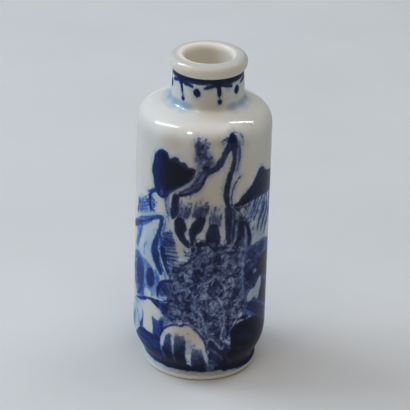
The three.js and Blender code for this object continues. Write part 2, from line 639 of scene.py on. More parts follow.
@dataclass
class Landscape(Painter):
    """The picture round the wall: an old tree over rocks in front, and a quieter shore behind."""

    def paint(self) -> None:
        """Paints everything, in the order that the picture is built up."""
        self.mists()
        self.ground()
        self.pale_rock()
        self.right_rock()
        self.thicket()
        self.left_grove()
        self.left_shore()
        self.fan_leaves()
        self.right_thicket()
        self.crag()
        self.old_tree()
        self.pine_bough()
        self.far_shore()

    def mists(self) -> None:
        """The faint blue that has run into the glaze round the heaviest painting, and the warm clouds:
        mostly a painted warm reflection, with a few faint stains.
        """
        for centre, reach, tone in (
            ((-16.5, 22), (5, 11), 0.22),
            ((-12, 30), (4, 9), 0.13),
            ((-17.5, 11.5), (5, 5.5), 0.15),
            ((-13.5, 37.5), (4.5, 4.5), 0.14),
            ((-7.5, 33), (2.5, 7), 0.14),
            ((-0.6, 53.4), (2, 3), 0.30),
            ((1.2, 51.6), (2.2, 1.8), 0.30),
            ((14.5, 34), (4.5, 4.5), 0.16),
            ((10.5, 38), (2.4, 3), 0.20),
            ((14, 20), (5, 6), 0.12),
            ((0, 41), (5, 2.4), 0.12),
            ((-3.5, 31), (2.5, 3), 0.04),
            ((7.4, 52), (1, 5), 0.16),
            ((-32, 20), (12, 16), 0.08),
            ((34, 20), (12, 16), 0.08),
        ):
            self.canvas.cloud("haze", centre, reach, tone)
        # Warm clouds: the broad ones over the front, the neck and the foot are a painted warm reflection;
        # the small ones on the shoulder also stand for faint brown stains in the glaze.
        for centre, reach, tone in (
            ((0.5, 45), (15, 22), 0.85),
            ((1, 62.5), (11, 5), 0.75),
            ((-6.4, 55.4), (5, 3.8), 0.7),
            ((2.8, 56.2), (3, 2.4), 0.95),
            ((-0.6, 44), (7, 6), 1.0),
            ((9.2, 55), (1.8, 2.2), 0.5),
            ((-2.4, 12), (5, 5), 0.8),
            ((-4.4, 32.4), (3, 3), 0.9),
            ((9, 40.4), (2.4, 2.4), 0.9),
            ((0, 1), (12, 3), 0.9),
        ):
            self.canvas.cloud("stain", centre, reach, tone)

    def ground(self) -> None:
        """The dark band that runs round above the foot, and the bank that rises from it on the left. On the
        right it runs down over the foot's white band, as painted shade.
        """
        stroke, patch, dab = self.canvas.stroke, self.canvas.patch, self.canvas.dab
        turns = [(x, 3.1 + 0.4 * math.sin(i * 2.1)) for i, x in enumerate(self.canvas.ring(12))]
        stroke(WASH, [(x, 2.95) for x, _ in turns], 0.9, 0.78)
        stroke(BRUSH, turns, 0.75, 0.78)
        bank = [
            (-23, 2.4), (-22, 3.6), (-19, 6), (-17, 8), (-15, 9.7), (-13.5, 10.3), (-11, 10.2), (-9, 10.3),
            (-8.4, 8), (-8, 5), (-8, 2.4),
        ]
        patch(WASH, bank, 0.72)
        stroke(BRUSH, [(-15.2, 9.2), (-13, 9.5), (-11, 9.4), (-9, 9.5)], (0.3, 0.5, 0.5, 0.6), 0.5)
        stroke(BRUSH, [(-19.5, 4.2), (-15, 4.4), (-11, 5.2), (-8, 5.6)], (0.6, 1.0, 1.4, 1.6), 0.62)
        stroke(BRUSH, [(-15.5, 7.6), (-13, 8), (-11.6, 7.4), (-10.4, 6)], (0.2, 0.35, 0.35, 0.2), 0.55)
        patch(BRUSH, [(-9, 2.4), (-9.2, 4.2), (-8, 5.2), (-5, 4.8), (-2, 4.2), (-1, 2.4)], 0.93)
        patch(BRUSH, [(-1.4, 2.4), (-1.6, 4), (2, 4.2), (6, 4.6), (8, 2.4)], 0.7)
        # Painted shade: on the right the dark cobalt runs down over the foot's white band, which is left
        # bare only low down there, and a thin wash darkens it further.
        patch(BRUSH, [(6, 3.6), (12, 4), (20, 3), (30, 1.6), (24, 1), (16, 0.9), (10, 1.5), (6, 2)], 0.84)
        stroke(BARE, [(x, 0.35 if 5 < x < 30 else 0.7) for x, _ in turns], 0.75, 0.92)
        stroke(LINE, [(1.3, 2.8), (1.6, 4.2), (2.8, 4.9), (4.1, 4.3), (4.6, 2.9)], 0.2, 0.8)
        dab(BARE, (2.9, 3.2), (1.5, 1.2), 0.36)
        stroke(BARE, [(1.7, 3.6), (2.3, 4.4), (3.3, 4.5), (4, 3.9)], 0.2, 0.4)
        stroke(WASH, [(9, 0.9), (13, 0.8), (18, 0.8), (26, 0.9)], (0.2, 0.6, 0.7, 0.3), 0.3)

    def pale_rock(self) -> None:
        """The rounded rock with a bare crown, and the small stones at its right."""
        stroke, patch, dab = self.canvas.stroke, self.canvas.patch, self.canvas.dab
        left = [(-7.6, 9.6), (-7, 11.2), (-6, 11.6), (-5.6, 8), (-5.6, 3.4), (-8.6, 3.4), (-8.2, 7)]
        patch(BRUSH, left, Fade(7.0, 12.0, 0.97, 0.46))
        middle = [(-5.1, 11.2), (-3.9, 11.6), (-2.8, 11.4), (-2.7, 7.5), (-2.7, 3.4), (-5.3, 3.4)]
        patch(BRUSH, middle, Fade(7.0, 12.0, 0.94, 0.44))
        right = [(-1.2, 9.2), (-0.2, 8.8), (0.7, 9), (1.2, 7.4), (1.7, 5.6), (2.2, 3.4), (-1.4, 3.4)]
        patch(BRUSH, right, Fade(4, 9.4, 0.9, 0.4))
        outline = [
            (-8.8, 7.4), (-8.7, 9.4), (-8.2, 11.4), (-7.2, 12.9), (-5.6, 13.9), (-4.5, 14.2), (-3.8, 14),
            (-3, 14.6), (-1.6, 14.3), (-0.4, 13.2), (0.7, 11.9), (1.5, 10.3), (1.8, 8.4), (2.6, 6.2),
        ]
        stroke(LINE, outline, (0.15, 0.25, 0.3, 0.25, 0.25, 0.3, 0.3, 0.2), 0.86)
        stroke(BARE, [(-7.9, 8.4), (-7.9, 10.2), (-7.3, 11.8)], (0.3, 0.4, 0.4), 0.62)
        crown = [
            (-7.2, 11.9), (-6, 12.7), (-4.9, 13), (-3.7, 12.6), (-2.6, 12.9), (-1.4, 12.2), (-0.4, 11),
            (0.5, 9.8),
        ]
        stroke(BARE, crown, (0.5, 0.65, 0.75, 0.75, 0.95, 0.95, 0.85, 0.55), 0.92)
        stroke(BARE, [(0.9, 9), (1.5, 7.3), (1.9, 5.4), (2.6, 3.6)], (0.25, 0.25, 0.25, 0.3), 0.42)
        stroke(BARE, [(-5.4, 11.8), (-5.3, 9.4), (-5.4, 6.6)], (0.3, 0.15, 0.1), 0.5)
        rib = [(-2, 12), (-2, 9.2), (-2.1, 6.4), (-1.8, 3.6)]
        stroke(BARE, rib, (0.6, 0.55, 0.5, 0.35), Fade(4, 11.5, 0.16, 0.72))
        for x, y, tone in (
            (-4.3, 12.2, 0.75), (-0.9, 9.7, 0.7), (-6.4, 11.7, 0.35), (-3.2, 11.8, 0.5), (-0.4, 10.4, 0.4)
        ):
            dab(LINE, (x, y), (0.22, 0.4), tone)
        self.scribble([(-7.4, 9), (-5.8, 11), (-3, 11), (0.4, 8.4), (1, 5), (-7, 6)], 50, 0.14, (0.3, 0.7))
        stone = [
            (1.9, 10.4), (3.2, 11), (4.8, 10.6), (6.2, 9.8), (7.2, 8), (7.4, 3.4), (2.6, 3.4), (2.3, 7)
        ]
        patch(BRUSH, stone, 0.84)
        for path, half, strength in (
            ([(3.4, 10.8), (4.3, 9.8), (4.7, 9)], 0.22, 0.5),
            ([(5.6, 11.2), (6.2, 9.8), (7, 8.2)], 0.2, 0.45),
            ([(2.6, 8.8), (3.6, 8), (4.6, 7), (5.4, 5.6)], 0.28, 0.3),
            ([(2.8, 5.8), (3.6, 5), (4.6, 3.6)], 0.28, 0.26),
            ([(6.2, 6.4), (7.2, 5), (8.4, 3.8)], 0.25, 0.2),
        ):
            stroke(BARE, path, half, strength)
        dab(BARE, (5, 8.8), (0.6, 0.45), 0.66)

    def right_rock(self) -> None:
        """The near-black rock at the lower right, with its few bare lights."""
        stroke, patch = self.canvas.stroke, self.canvas.patch
        mass = [
            (6.7, 12.4), (7.6, 13.7), (8.8, 15.2), (10.2, 15.4), (12.4, 14.6), (14.2, 13.6), (16.8, 12),
            (20, 10), (23, 7.4), (26, 4.6), (28, 2.4), (5, 2.4), (5, 5), (6.6, 8), (7, 10.4),
        ]
        patch(BRUSH, mass, 0.9)
        patch(WASH, [(x, y - 0.3) for x, y in mass], 0.84)
        stroke(BARE, [(8.2, 14), (9.1, 14.4), (10.1, 14.3)], (0.2, 0.36, 0.15), 0.76)
        stroke(BARE, [(10.9, 14.3), (11.8, 14.5), (12.6, 14.2)], (0.15, 0.34, 0.15), 0.7)
        stroke(BARE, [(8.6, 10.6), (10.2, 10.4), (12, 9.6), (13.4, 8.4)], (0.2, 1.0, 0.9, 0.2), 0.07)
        stroke(BARE, [(8, 8), (9.6, 7.4), (11.4, 6.2)], (0.2, 0.7, 0.2), 0.05)

    def thicket(self) -> None:
        """The big mass of scribbled leaves in the middle, with pale stems showing through."""
        canvas = self.canvas
        mass = [
            (-2, 31.4), (-2.2, 33.4), (0.2, 34.4), (2.6, 34.4), (3.4, 33), (5.4, 33), (7.6, 32.6),
            (9.8, 31.6), (10.4, 28.4), (10, 25), (10.4, 21), (10.2, 17.6), (8.4, 15.2), (6.6, 13.4),
            (6.6, 11), (3.6, 10.4), (1.9, 11), (0.6, 12.8), (-1.2, 14.5), (-3.4, 15), (-6, 15),
            (-7.6, 17.4), (-6.4, 20), (-5.6, 22.6), (-6.6, 25), (-6.2, 27.8), (-4.6, 28.4), (-3.2, 29),
        ]
        canvas.patch(WASH, mass, 0.42)
        canvas.patch(LEAF, mass, 0.44)
        for path, tone in (
            ([(-1.6, 32.8), (-0.6, 29.8), (-0.2, 26.8), (-0.8, 24)], 0.6),
            ([(3, 33), (3.4, 29.8), (3.6, 26.4), (3.2, 22.8)], 0.5),
            ([(5.2, 31.4), (6.4, 30.6), (8, 31)], 0.45),
            ([(-5.6, 26.4), (-4, 24.6), (-3, 21.4), (-3.2, 18.4)], 0.55),
            ([(-0.4, 22), (-2.6, 20.6), (-2, 16.4)], 0.6),
            ([(8.4, 22.4), (7.4, 20.2), (6.2, 18.8)], 0.55),
            ([(0.8, 18.2), (1.6, 15.4), (2.2, 13.2)], 0.36),
            ([(3.2, 16.6), (3.6, 14.2), (4, 12.4)], 0.4),
            ([(5.8, 16.8), (6.6, 14.2), (6.2, 12)], 0.5),
            ([(8.8, 25), (8.6, 21)], 0.25),
        ):
            canvas.stroke(BRUSH, path, (0.5, 0.9, 0.9, 0.4), tone)
        self.scribble(mass, 400, 0.22, (0.4, 0.84))
        crest = [(-2, 34), (4, 34), (4, 29), (4.2, 22), (-1, 22), (-6, 26), (-3, 29)]
        self.scribble(crest, 90, 0.22, (0.66, 0.88))
        for path, half, strength in (
            ([(-2.8, 23.2), (-1.5, 22), (-0.9, 20), (-0.8, 18.4), (0.2, 17.4)], 0.2, 0.6),
            ([(0.3, 17.4), (0.9, 15.6), (1.4, 13.6), (1.9, 12), (3.4, 10.6), (4.6, 8.8)], 0.22, 0.7),
            ([(3.9, 21), (4.7, 19.3), (5.3, 17.5), (5.4, 15.2), (5, 13.2)], 0.22, 0.7),
            ([(5, 13.2), (4.8, 11.6), (5.4, 10), (5.4, 9)], 0.22, 0.7),
            ([(-5.2, 22.9), (-3.9, 23.4), (-2.8, 23.2), (-1.2, 24.4)], 0.16, 0.45),
            ([(9.5, 29.4), (9.4, 26.4), (9.5, 23.6), (9.7, 20.2)], 0.35, 0.42),
            ([(-2.6, 28.2), (-1.6, 29.6), (-0.4, 30.6)], 0.18, 0.4),
        ):
            canvas.stroke(BARE, path, half, strength)
        for spot, reach, strength in (
            ((1, 21.6), (0.9, 1), 0.6),
            ((2.7, 19.6), (0.8, 1.4), 0.5),
            ((6.6, 24.8), (0.7, 0.9), 0.6),
            ((7.2, 27.6), (0.9, 0.6), 0.45),
            ((6.2, 29.4), (0.7, 0.4), 0.45),
            ((5.8, 32), (0.9, 0.35), 0.5),
            ((8.6, 30.2), (0.6, 0.5), 0.5),
            ((-4.4, 17.4), (0.7, 0.9), 0.5),
            ((-2.4, 14.9), (0.7, 0.4), 0.5),
            ((7, 17.6), (0.9, 0.6), 0.45),
            ((8.2, 15.9), (0.8, 0.5), 0.45),
            ((2.8, 12.4), (0.7, 0.5), 0.5),
            ((-4, 29.4), (0.9, 0.7), 0.7),
        ):
            canvas.dab(BARE, spot, reach, strength)
        self.scribble(mass, 230, 0.19, (0.3, 0.6), BARE)

    def left_grove(self) -> None:
        """The two dark leaning stems at the left, with combs of leaves, under their branch."""
        stroke, patch, dab = self.canvas.stroke, self.canvas.patch, self.canvas.dab
        twig = [(-10.4, 44), (-11.7, 43.1), (-12.2, 42), (-12, 40.4), (-11.9, 38.6)]
        stroke(BRUSH, twig, (0.6, 0.5, 0.45, 0.4, 0.3), 0.76)
        dab(BRUSH, (-12.6, 42.8), (0.6, 0.26), 0.7, -20)
        comb = [
            (-17.6, 36.2), (-17, 38.2), (-15.4, 40.2), (-13.4, 41.2), (-12.6, 42.2), (-11.2, 42),
            (-10.6, 40.4), (-11.2, 38.6), (-13.6, 37.4),
        ]
        patch(WASH, comb, 0.16)
        self.hatch(((-12, 41.9), (-10.3, 41.2)), ((-12, 39.3), (-10.5, 38.6)), 6, 0.2, 0.7)
        self.hatch(((-12.4, 41.9), (-14.4, 40.6)), ((-12.6, 39.2), (-15.4, 37.6)), 5, 0.2, 0.6)
        self.hatch(((-14.8, 40.4), (-15, 37.2)), ((-17.2, 39.2), (-17.6, 35.8)), 5, 0.26, 0.56)
        light = [(-17.4, 35.5), (-15, 36.4), (-12.4, 37.9), (-10.6, 38.8), (-8.8, 39.3)]
        stroke(BARE, light, (0.1, 0.22, 0.2, 0.2, 0.15), 0.5)
        branch = [
            (-19.4, 32.4), (-17.4, 33.6), (-15.8, 34.8), (-14, 35.9), (-11.8, 37), (-9.9, 38), (-8.7, 38.1)
        ]
        stroke(BRUSH, branch, (0.8, 0.85, 0.75, 0.6, 0.5, 0.5, 0.6), 0.62)
        under = [(-16.6, 33.8), (-15, 34.4), (-13.2, 35.4), (-11.6, 36.4)]
        stroke(BRUSH, under, (0.5, 0.6, 0.45, 0.2), 0.5)
        stroke(BARE, [(-17.6, 34.2), (-15.6, 35.2), (-13.6, 36.1), (-12, 37)], (0.1, 0.18, 0.16, 0.1), 0.45)
        stroke(LINE, [(-16.4, 34), (-14.6, 35), (-12.6, 36.2), (-11, 37.2)], (0.1, 0.2, 0.2, 0.1), 0.6)
        dab(BRUSH, (-18.2, 33), (1.1, 0.8), 0.84)
        stem = [
            (-8.7, 38.1), (-8.9, 36.6), (-9.3, 35), (-9.8, 33.2), (-10.3, 31.6), (-10.5, 29.8),
            (-10.1, 28.2), (-9.4, 26.6), (-8.7, 25.3),
        ]
        stroke(BRUSH, stem, (0.5, 0.5, 0.55, 0.6, 0.85, 1.15, 1.0, 0.7, 0.5), 0.76)
        stroke(WASH, [(-9.4, 29.4), (-9.2, 27.8), (-8.4, 26)], (0.5, 0.7, 0.5), 0.45)
        second = [(-8.6, 31.4), (-8.2, 29.8), (-7.7, 28.2), (-7.1, 26.6), (-6.4, 25.2)]
        stroke(BRUSH, second, (0.5, 0.7, 0.6, 0.45, 0.3), 0.84)
        stroke(WASH, [(-9.2, 34.6), (-8.9, 32.8), (-8.7, 31.2)], (0.3, 0.5, 0.4), 0.4)
        stroke(LINE, [(-7.6, 38.9), (-7.9, 36.8), (-8.4, 35), (-9, 33)], 0.14, 0.5)
        leaves = [
            (-8.4, 34.8), (-6.4, 35.2), (-5.4, 33.4), (-4.9, 31), (-4.6, 29), (-5.2, 26.4), (-7, 28.4),
            (-8.2, 31.4),
        ]
        patch(WASH, leaves, 0.34)
        self.hatch(((-8.3, 34.8), (-6, 35.2)), ((-8.9, 31.2), (-5.4, 31.9)), 8, 0.16, 0.8)
        self.hatch(((-7.6, 30.8), (-4.9, 30.9)), ((-6.8, 26.8), (-4.2, 26.8)), 6, 0.22, 0.84)
        stroke(LINE, [(-9.1, 31.2), (-9.4, 29.4), (-8.8, 27.6), (-8, 26)], 0.14, 0.6)
        stroke(LINE, [(-11, 34.6), (-10.4, 33), (-10.8, 31.4)], 0.12, 0.3)

    def left_shore(self) -> None:
        """The looser strokes low on the left: a leaf, a swirl, streaks of water and a thin reed."""
        stroke, patch, dab = self.canvas.stroke, self.canvas.patch, self.canvas.dab
        stroke(WASH, [(-15.6, 34), (-16.4, 31.6), (-17.6, 28.4)], (1.1, 1.2, 0.8), 0.36)
        stroke(LINE, [(-15.2, 33.6), (-16.2, 31), (-17.2, 28.6)], (0.2, 0.25, 0.15), 0.36)
        stroke(WASH, [(-13, 31), (-13.9, 29.6), (-14.1, 27.8)], 0.35, 0.26)
        wash = [
            (-19.5, 25.4), (-17.2, 27.2), (-15, 27), (-12.5, 26.6), (-10.4, 25.2), (-9.2, 23), (-9.6, 20.4),
            (-10.6, 19.2), (-13.2, 18.6), (-14, 18), (-15.6, 17.2), (-17.6, 17.6), (-19.4, 20.4),
        ]
        patch(WASH, wash, 0.36)
        leaf = [
            (-17.6, 24.2), (-15.6, 26.4), (-14.2, 25.2), (-14.1, 22.6), (-14.3, 19.4), (-15.6, 19),
            (-17.2, 21),
        ]
        patch(BRUSH, leaf, 0.46)
        self.hatch(((-18.6, 24.4), (-16.4, 26.6)), ((-17.2, 19.4), (-14.8, 22.6)), 5, 0.26, 0.4)
        dab(BRUSH, (-14.9, 23.6), (0.6, 1.1), 0.6)
        stroke(LINE, [(-14, 25.6), (-14, 22.6), (-14.1, 19.4), (-14.3, 17.4)], (0.12, 0.18, 0.2, 0.2), 0.6)
        stroke(BRUSH, [(-16.8, 17), (-15.4, 18.4), (-14.4, 19.6)], (0.4, 0.6, 0.3), 0.5)
        blade = [
            (-12.5, 25), (-11.2, 25.6), (-10.4, 24.4), (-10.3, 22.4), (-11.2, 21.1), (-12.6, 21.2),
            (-13, 23.2),
        ]
        patch(BRUSH, blade, 0.66)
        stroke(BRUSH, [(-10, 25.4), (-9.4, 24), (-9.3, 22)], (0.5, 0.45, 0.3), 0.42)
        stroke(BARE, [(-13.5, 25.8), (-13.5, 23.4), (-13.4, 21.2)], (0.2, 0.22, 0.3), 0.5)
        stroke(BARE, [(-12.6, 26.3), (-11, 26.5), (-9.8, 25.6), (-8.6, 24.4)], (0.15, 0.22, 0.2, 0.1), 0.42)
        gap = [(-13.6, 18.5), (-13.3, 20.1), (-12, 20.2), (-11.2, 19.6), (-11.6, 18.7), (-12.6, 18.6)]
        patch(BARE, gap, 0.8)
        stroke(WASH, [(-10.4, 20), (-8.8, 19.6), (-7, 19.9)], 0.5, 0.34)
        swirl = [
            (-9.4, 19.8), (-9.3, 21.4), (-8.8, 22.8), (-7.6, 23.7), (-6, 24.3), (-4.6, 24.6), (-3.4, 23.8)
        ]
        stroke(BRUSH, swirl, (0.25, 0.42, 0.5, 0.4, 0.35, 0.3, 0.2), 0.86)
        heart = [
            (-9.1, 20.2), (-8.9, 22.2), (-7.2, 23.5), (-5.2, 24.2), (-3.6, 23), (-3.4, 20), (-5.4, 19.2),
            (-7.4, 19.4),
        ]
        patch(WASH, heart, 0.62)
        self.hatch(((-8.6, 22.4), (-7.2, 20.8)), ((-5, 23.6), (-4.4, 20.4)), 6, 0.2, 0.8)
        dab(BARE, (-7.5, 20.1), (0.65, 0.42), 0.6)
        shore = [
            (-17.4, 15.9), (-14.8, 16.8), (-12.8, 17.8), (-11.2, 18.3), (-9.2, 18.6), (-7.2, 19.1),
            (-5.6, 19.7),
        ]
        stroke(BRUSH, shore, (0.15, 0.45, 0.36, 0.26, 0.24, 0.22, 0.2), 0.82)
        bank = [(-11.2, 18.1), (-7.4, 18.8), (-5.2, 19), (-5.2, 16), (-6, 14.6), (-7.6, 15.4), (-9, 16.8)]
        patch(WASH, bank, 0.62)
        self.hatch(((-10.8, 18.1), (-8, 16.2)), ((-7, 18.7), (-5, 15.6)), 7, 0.17, 0.76)
        arrow = [
            (-16.4, 15.2), (-14, 16.3), (-11.9, 17.6), (-10.2, 17), (-8.7, 15.9), (-10.6, 15),
            (-11.2, 13.6), (-10.7, 10.6), (-13.5, 10.6), (-13.7, 13.8),
        ]
        patch(BARE, arrow, 0.85)
        boulder = [
            (-10.9, 14.1), (-9.4, 14), (-8, 14.2), (-7.9, 12.6), (-8.6, 10.2), (-10.5, 10.2), (-10.6, 12)
        ]
        patch(BRUSH, boulder, 0.66)
        patch(WASH, [(-8.8, 14.5), (-7.4, 15.6), (-6, 14.8), (-7.6, 12.8), (-8.4, 12)], 0.45)
        stroke(BRUSH, [(-14, 14.2), (-14.1, 12.2), (-14.6, 10.2)], (0.16, 0.32, 0.7), 0.74)
        stroke(LINE, [(-18.8, 14.9), (-16.2, 15), (-14.2, 14.4)], (0.3, 0.3, 0.2), 0.3)
        stroke(LINE, [(-17.6, 14.2), (-16.2, 12.4), (-15.2, 10.4)], (0.2, 0.25, 0.3), 0.26)

    def fan_leaves(self) -> None:
        """The dark leaves over the thicket, each under a fan of short strokes, and a sweep beside them."""
        stroke, patch, dab = self.canvas.stroke, self.canvas.patch, self.canvas.dab
        left = [
            (-5.8, 38.2), (-5, 39.3), (-4, 39.2), (-3.2, 38.2), (-3, 37), (-3.3, 35.8), (-3, 34.8),
            (-2.3, 33.8), (-2.2, 32.5), (-3.4, 33), (-4.7, 34.3), (-5.6, 36.2),
        ]
        patch(BRUSH, left, 0.91)
        middle = [
            (-2.3, 34.6), (-2.6, 36.4), (-2.2, 38), (-1.2, 39.4), (-0.2, 40), (0.7, 39.6), (0.8, 38.4),
            (0.1, 36.9), (-0.8, 35.6), (-1.2, 34.4), (-1.3, 33.2), (-2.1, 32.9),
        ]
        patch(BRUSH, middle, 0.9)
        right = [
            (1, 34.2), (0.9, 36), (1.5, 37.7), (2.5, 38.4), (3.5, 37.6), (3.8, 36), (4, 34.6), (3.3, 33.4),
            (2, 33.2),
        ]
        patch(BRUSH, right, 0.84)
        stroke(BRUSH, [(-2.4, 33), (-0.4, 33.5), (1.6, 33.8), (3.2, 33.6)], (0.5, 0.5, 0.6, 0.4), 0.66)
        spine = [(-7, 38.4), (-6.3, 37), (-5.9, 35.4), (-5, 34), (-4.1, 33)]
        stroke(BARE, spine, (0.15, 0.2, 0.2, 0.2, 0.1), 0.4)
        stroke(LINE, [(-6.7, 36), (-6.3, 34.8), (-5.6, 33.9)], 0.14, 0.4)
        for (x, y), (wide, tall), lean, count, tone in (
            ((-3.9, 39.4), (1.2, 3.4), 0.5, 7, 0.28),
            ((-0.8, 39.8), (1.2, 3.2), 1.0, 8, 0.34),
            ((2.6, 37.9), (1.2, 3.6), 0.4, 6, 0.22),
        ):
            crown = [
                (x - wide, y - 0.2), (x - wide + lean, y + tall * 0.6), (x + wide + lean, y + tall * 0.6),
                (x + wide, y - 0.2),
            ]
            patch(WASH, crown, tone)
            foot, top = (x - wide * 0.9, y), (x - wide + lean, y + tall)
            self.hatch(
                (foot, top), ((x + wide * 0.9, y), (x + wide + lean, y + tall * 0.8)), count, 0.16, 0.64
            )
            self.sprays((x + lean, y + tall), (wide * 1.1, 0.8), 10, (0.1, 0.17), (0.5, 0.8))
        column = [
            (4.7, 41.8), (6.5, 41.6), (7, 40), (7, 38.2), (7.2, 36.2), (7, 34.2), (5.8, 33), (5.1, 34.6),
            (4.9, 37.2), (4.8, 39.6),
        ]
        patch(BRUSH, column, 0.84)
        sweep = [
            (6.9, 40.6), (8.4, 39.2), (10.2, 37.8), (11.4, 34.6), (11.4, 31.6), (8, 31.4), (6, 32.4),
            (6.8, 35),
        ]
        patch(WASH, sweep, 0.5)
        curve = [(6.6, 41.5), (7.8, 40.8), (8.5, 39.4), (8.9, 37.6), (8.6, 35.6)]
        stroke(LINE, curve, (0.2, 0.3, 0.25, 0.25, 0.2), 0.84)
        inner = [(7.6, 38.2), (8.4, 37.2), (8.8, 35.6), (8.3, 34), (7.4, 33)]
        stroke(BRUSH, inner, (0.45, 0.8, 0.8, 0.6, 0.3), 0.8)
        outer = [(9.6, 37.4), (10.2, 36.4), (10.8, 35), (11.1, 33.4), (10.8, 31.8)]
        stroke(BRUSH, outer, (0.25, 0.35, 0.5, 0.6, 0.3), 0.82)
        self.scribble(sweep, 40, 0.17, (0.5, 0.85))
        stroke(BARE, [(6.5, 40.6), (6.6, 38.2), (6.3, 35.6), (6.4, 33.6)], (0.1, 0.17, 0.17, 0.1), 0.4)
        stroke(BARE, [(7.5, 36.4), (7.3, 34.6), (6.9, 32.8)], 0.22, 0.45)
        stroke(BARE, [(7.2, 40.4), (7.8, 38.8), (7.6, 37)], 0.15, 0.35)
        stroke(BARE, [(9.6, 36.6), (10, 34.6), (9.8, 32.6)], 0.22, 0.4)
        dab(BARE, (8.7, 40.3), (0.8, 0.6), 0.75)

    def right_thicket(self) -> None:
        """The darker leaves and tall stems near the right edge, with a bare gap and a slanting wash."""
        canvas = self.canvas
        behind = [
            (9.8, 30.6), (12.4, 31.4), (15.2, 31.6), (18.4, 30.6), (21.6, 28), (23.4, 24), (22.4, 20),
            (23.4, 15), (22, 11), (19, 10), (15, 12), (9.8, 14.6),
        ]
        canvas.patch(WASH, behind, 0.56)
        self.hatch(((10.2, 29.8), (12.8, 31)), ((10.4, 21.8), (14.4, 23.4)), 11, 0.26, 0.6)
        self.scribble([(9.8, 29), (13, 30), (15, 27), (14.6, 22), (10, 21)], 70, 0.2, (0.6, 0.86))
        dark = [
            (13.8, 26.8), (16, 27.6), (18, 27.4), (22, 24.4), (23, 20), (19.6, 20.6), (17, 22.2),
            (15.2, 23), (14, 23.2),
        ]
        canvas.patch(BRUSH, dark, 0.88)
        canvas.dab(BRUSH, (15.6, 29.4), (1.7, 1.4), 0.66, -30)
        canvas.dab(BRUSH, (11.4, 24.4), (1, 1.5), 0.72)
        canvas.dab(BARE, (13.2, 24.8), (0.8, 0.5), 0.55)
        gap = [
            (11, 18.2), (10.8, 19.6), (11.8, 20.8), (13.4, 21.1), (14.6, 22.3), (15.7, 22.5), (15.9, 20.8),
            (15.3, 19), (14.4, 17.7), (13.4, 18.5), (12, 18.3),
        ]
        canvas.patch(BARE, gap, 0.95)
        slant = [(10.2, 17.9), (12, 17), (14.4, 15.4), (17, 13.2), (20.4, 10.4)]
        canvas.stroke(BRUSH, slant, (0.4, 1.0, 1.3, 1.5, 1.2), 0.55)
        edge = [
            (15.6, 18.8), (16.4, 21.4), (18.2, 20.4), (21, 18.6), (22, 15), (19.2, 14.6), (16.8, 16),
            (15.3, 17.2),
        ]
        canvas.patch(BRUSH, edge, 0.84)
        for x, y, lean in (
            (20.5, 28.6, 35), (22.6, 25.6, 50), (22.6, 21.6, 70), (23.2, 17.6, 80), (22.8, 13.6, 100)
        ):
            canvas.dab(BRUSH, (x, y), (0.8, 1.6), 0.76, lean)

    def crag(self) -> None:
        """The dark lobed crag at the upper left, bluer down its left side."""
        canvas = self.canvas
        edge = [
            (-10.4, 43.6), (-11, 45), (-11.3, 46.4), (-11.8, 47.8), (-11.6, 49.2), (-11.2, 50.6),
            (-10.9, 51.8), (-10.1, 52.9), (-8.7, 53.6), (-7.6, 53.1), (-7, 52.1), (-6.4, 52.4),
            (-5.7, 52.8), (-5, 52.4), (-4.7, 51.7), (-3.9, 51.8), (-3.3, 51.3), (-3, 50.7), (-2.2, 50.8),
            (-1.5, 50.3), (-1.6, 49), (-2.2, 47.9), (-3.3, 46.9), (-4.8, 45.8), (-6.2, 44.8), (-7.3, 43.4),
            (-8.3, 42.7), (-9.5, 42.8),
        ]
        canvas.patch(BRUSH, edge, 0.85)
        heart = [
            (-9, 52.7), (-7.8, 52.4), (-6.9, 51.4), (-5.2, 51.3), (-3.6, 50.4), (-2.1, 50), (-2.6, 48.2),
            (-4.4, 46.6), (-6.6, 45.2), (-8, 44.8), (-7.9, 47), (-8.6, 50),
        ]
        canvas.patch(WASH, heart, 0.9)
        flank = [(-9.4, 52), (-9.2, 50), (-8.8, 47.4), (-8.6, 45.2)]
        canvas.stroke(LINE, flank, (0.5, 0.8, 0.9, 0.5), 0.46)
        canvas.dab(LINE, (-9.2, 52.2), (1.5, 1), 0.45)
        canvas.dab(BARE, (-8.9, 43.9), (0.5, 0.9), 0.2)

    def old_tree(self) -> None:
        """The old forked tree: a limb falls to the left, a trunk drops to the rocks, its crown is misty."""
        stroke, patch, dab = self.canvas.stroke, self.canvas.patch, self.canvas.dab
        limb = [(5.6, 56.2), (4.7, 54.4), (3.8, 52.5), (2.9, 51), (1.7, 50.2), (0.6, 49.8)]
        stroke(BRUSH, limb, (0.85, 0.7, 0.75, 0.75, 0.7, 0.6), 0.79)
        elbow = [(1, 50.8), (0.2, 49.6), (-0.3, 48.4), (-0.9, 47.3), (-1.9, 46.1), (-3, 45.4), (-4.6, 44.7)]
        stroke(BRUSH, elbow, (0.6, 0.8, 0.85, 0.85, 0.75, 0.6, 0.5), 0.7)
        crease = [
            (1.2, 49.5), (0.4, 48.5), (-0.1, 47.1), (-1, 45.8), (-2.3, 45), (-3.8, 44.4), (-5.2, 44.1)
        ]
        stroke(LINE, crease, 0.3, 0.84)
        inside = [
            (-4.6, 45), (-2.8, 46.2), (-1, 48.4), (0.4, 50.2), (1, 49.6), (0, 47.2), (-1.6, 45.2),
            (-4, 44.2),
        ]
        self.scribble(inside, 34, 0.16, (0.5, 0.85))
        stroke(BARE, [(-3.8, 45.1), (-2.6, 45.6), (-1.6, 46.5)], (0.1, 0.16, 0.1), 0.45)
        stroke(BARE, [(-0.9, 47.6), (-0.2, 48.7), (0.4, 49.8)], (0.1, 0.16, 0.1), 0.4)
        stroke(LINE, [(-0.9, 49.8), (-1.4, 48.4), (-2.2, 47), (-3.4, 45.9)], 0.14, 0.6)
        pale = [
            (-0.9, 50.8), (-1.5, 49.3), (-2.2, 47.9), (-3.2, 46.6), (-4.6, 45.6), (-6, 44.8), (-7, 43.8)
        ]
        stroke(WASH, [*pale, (-7.4, 42.4), (-7.2, 40.8), (-6.9, 39.4)], 0.45, 0.26)
        stroke(BARE, pale, (0.2, 0.25, 0.25, 0.3, 0.3, 0.25), 0.3)
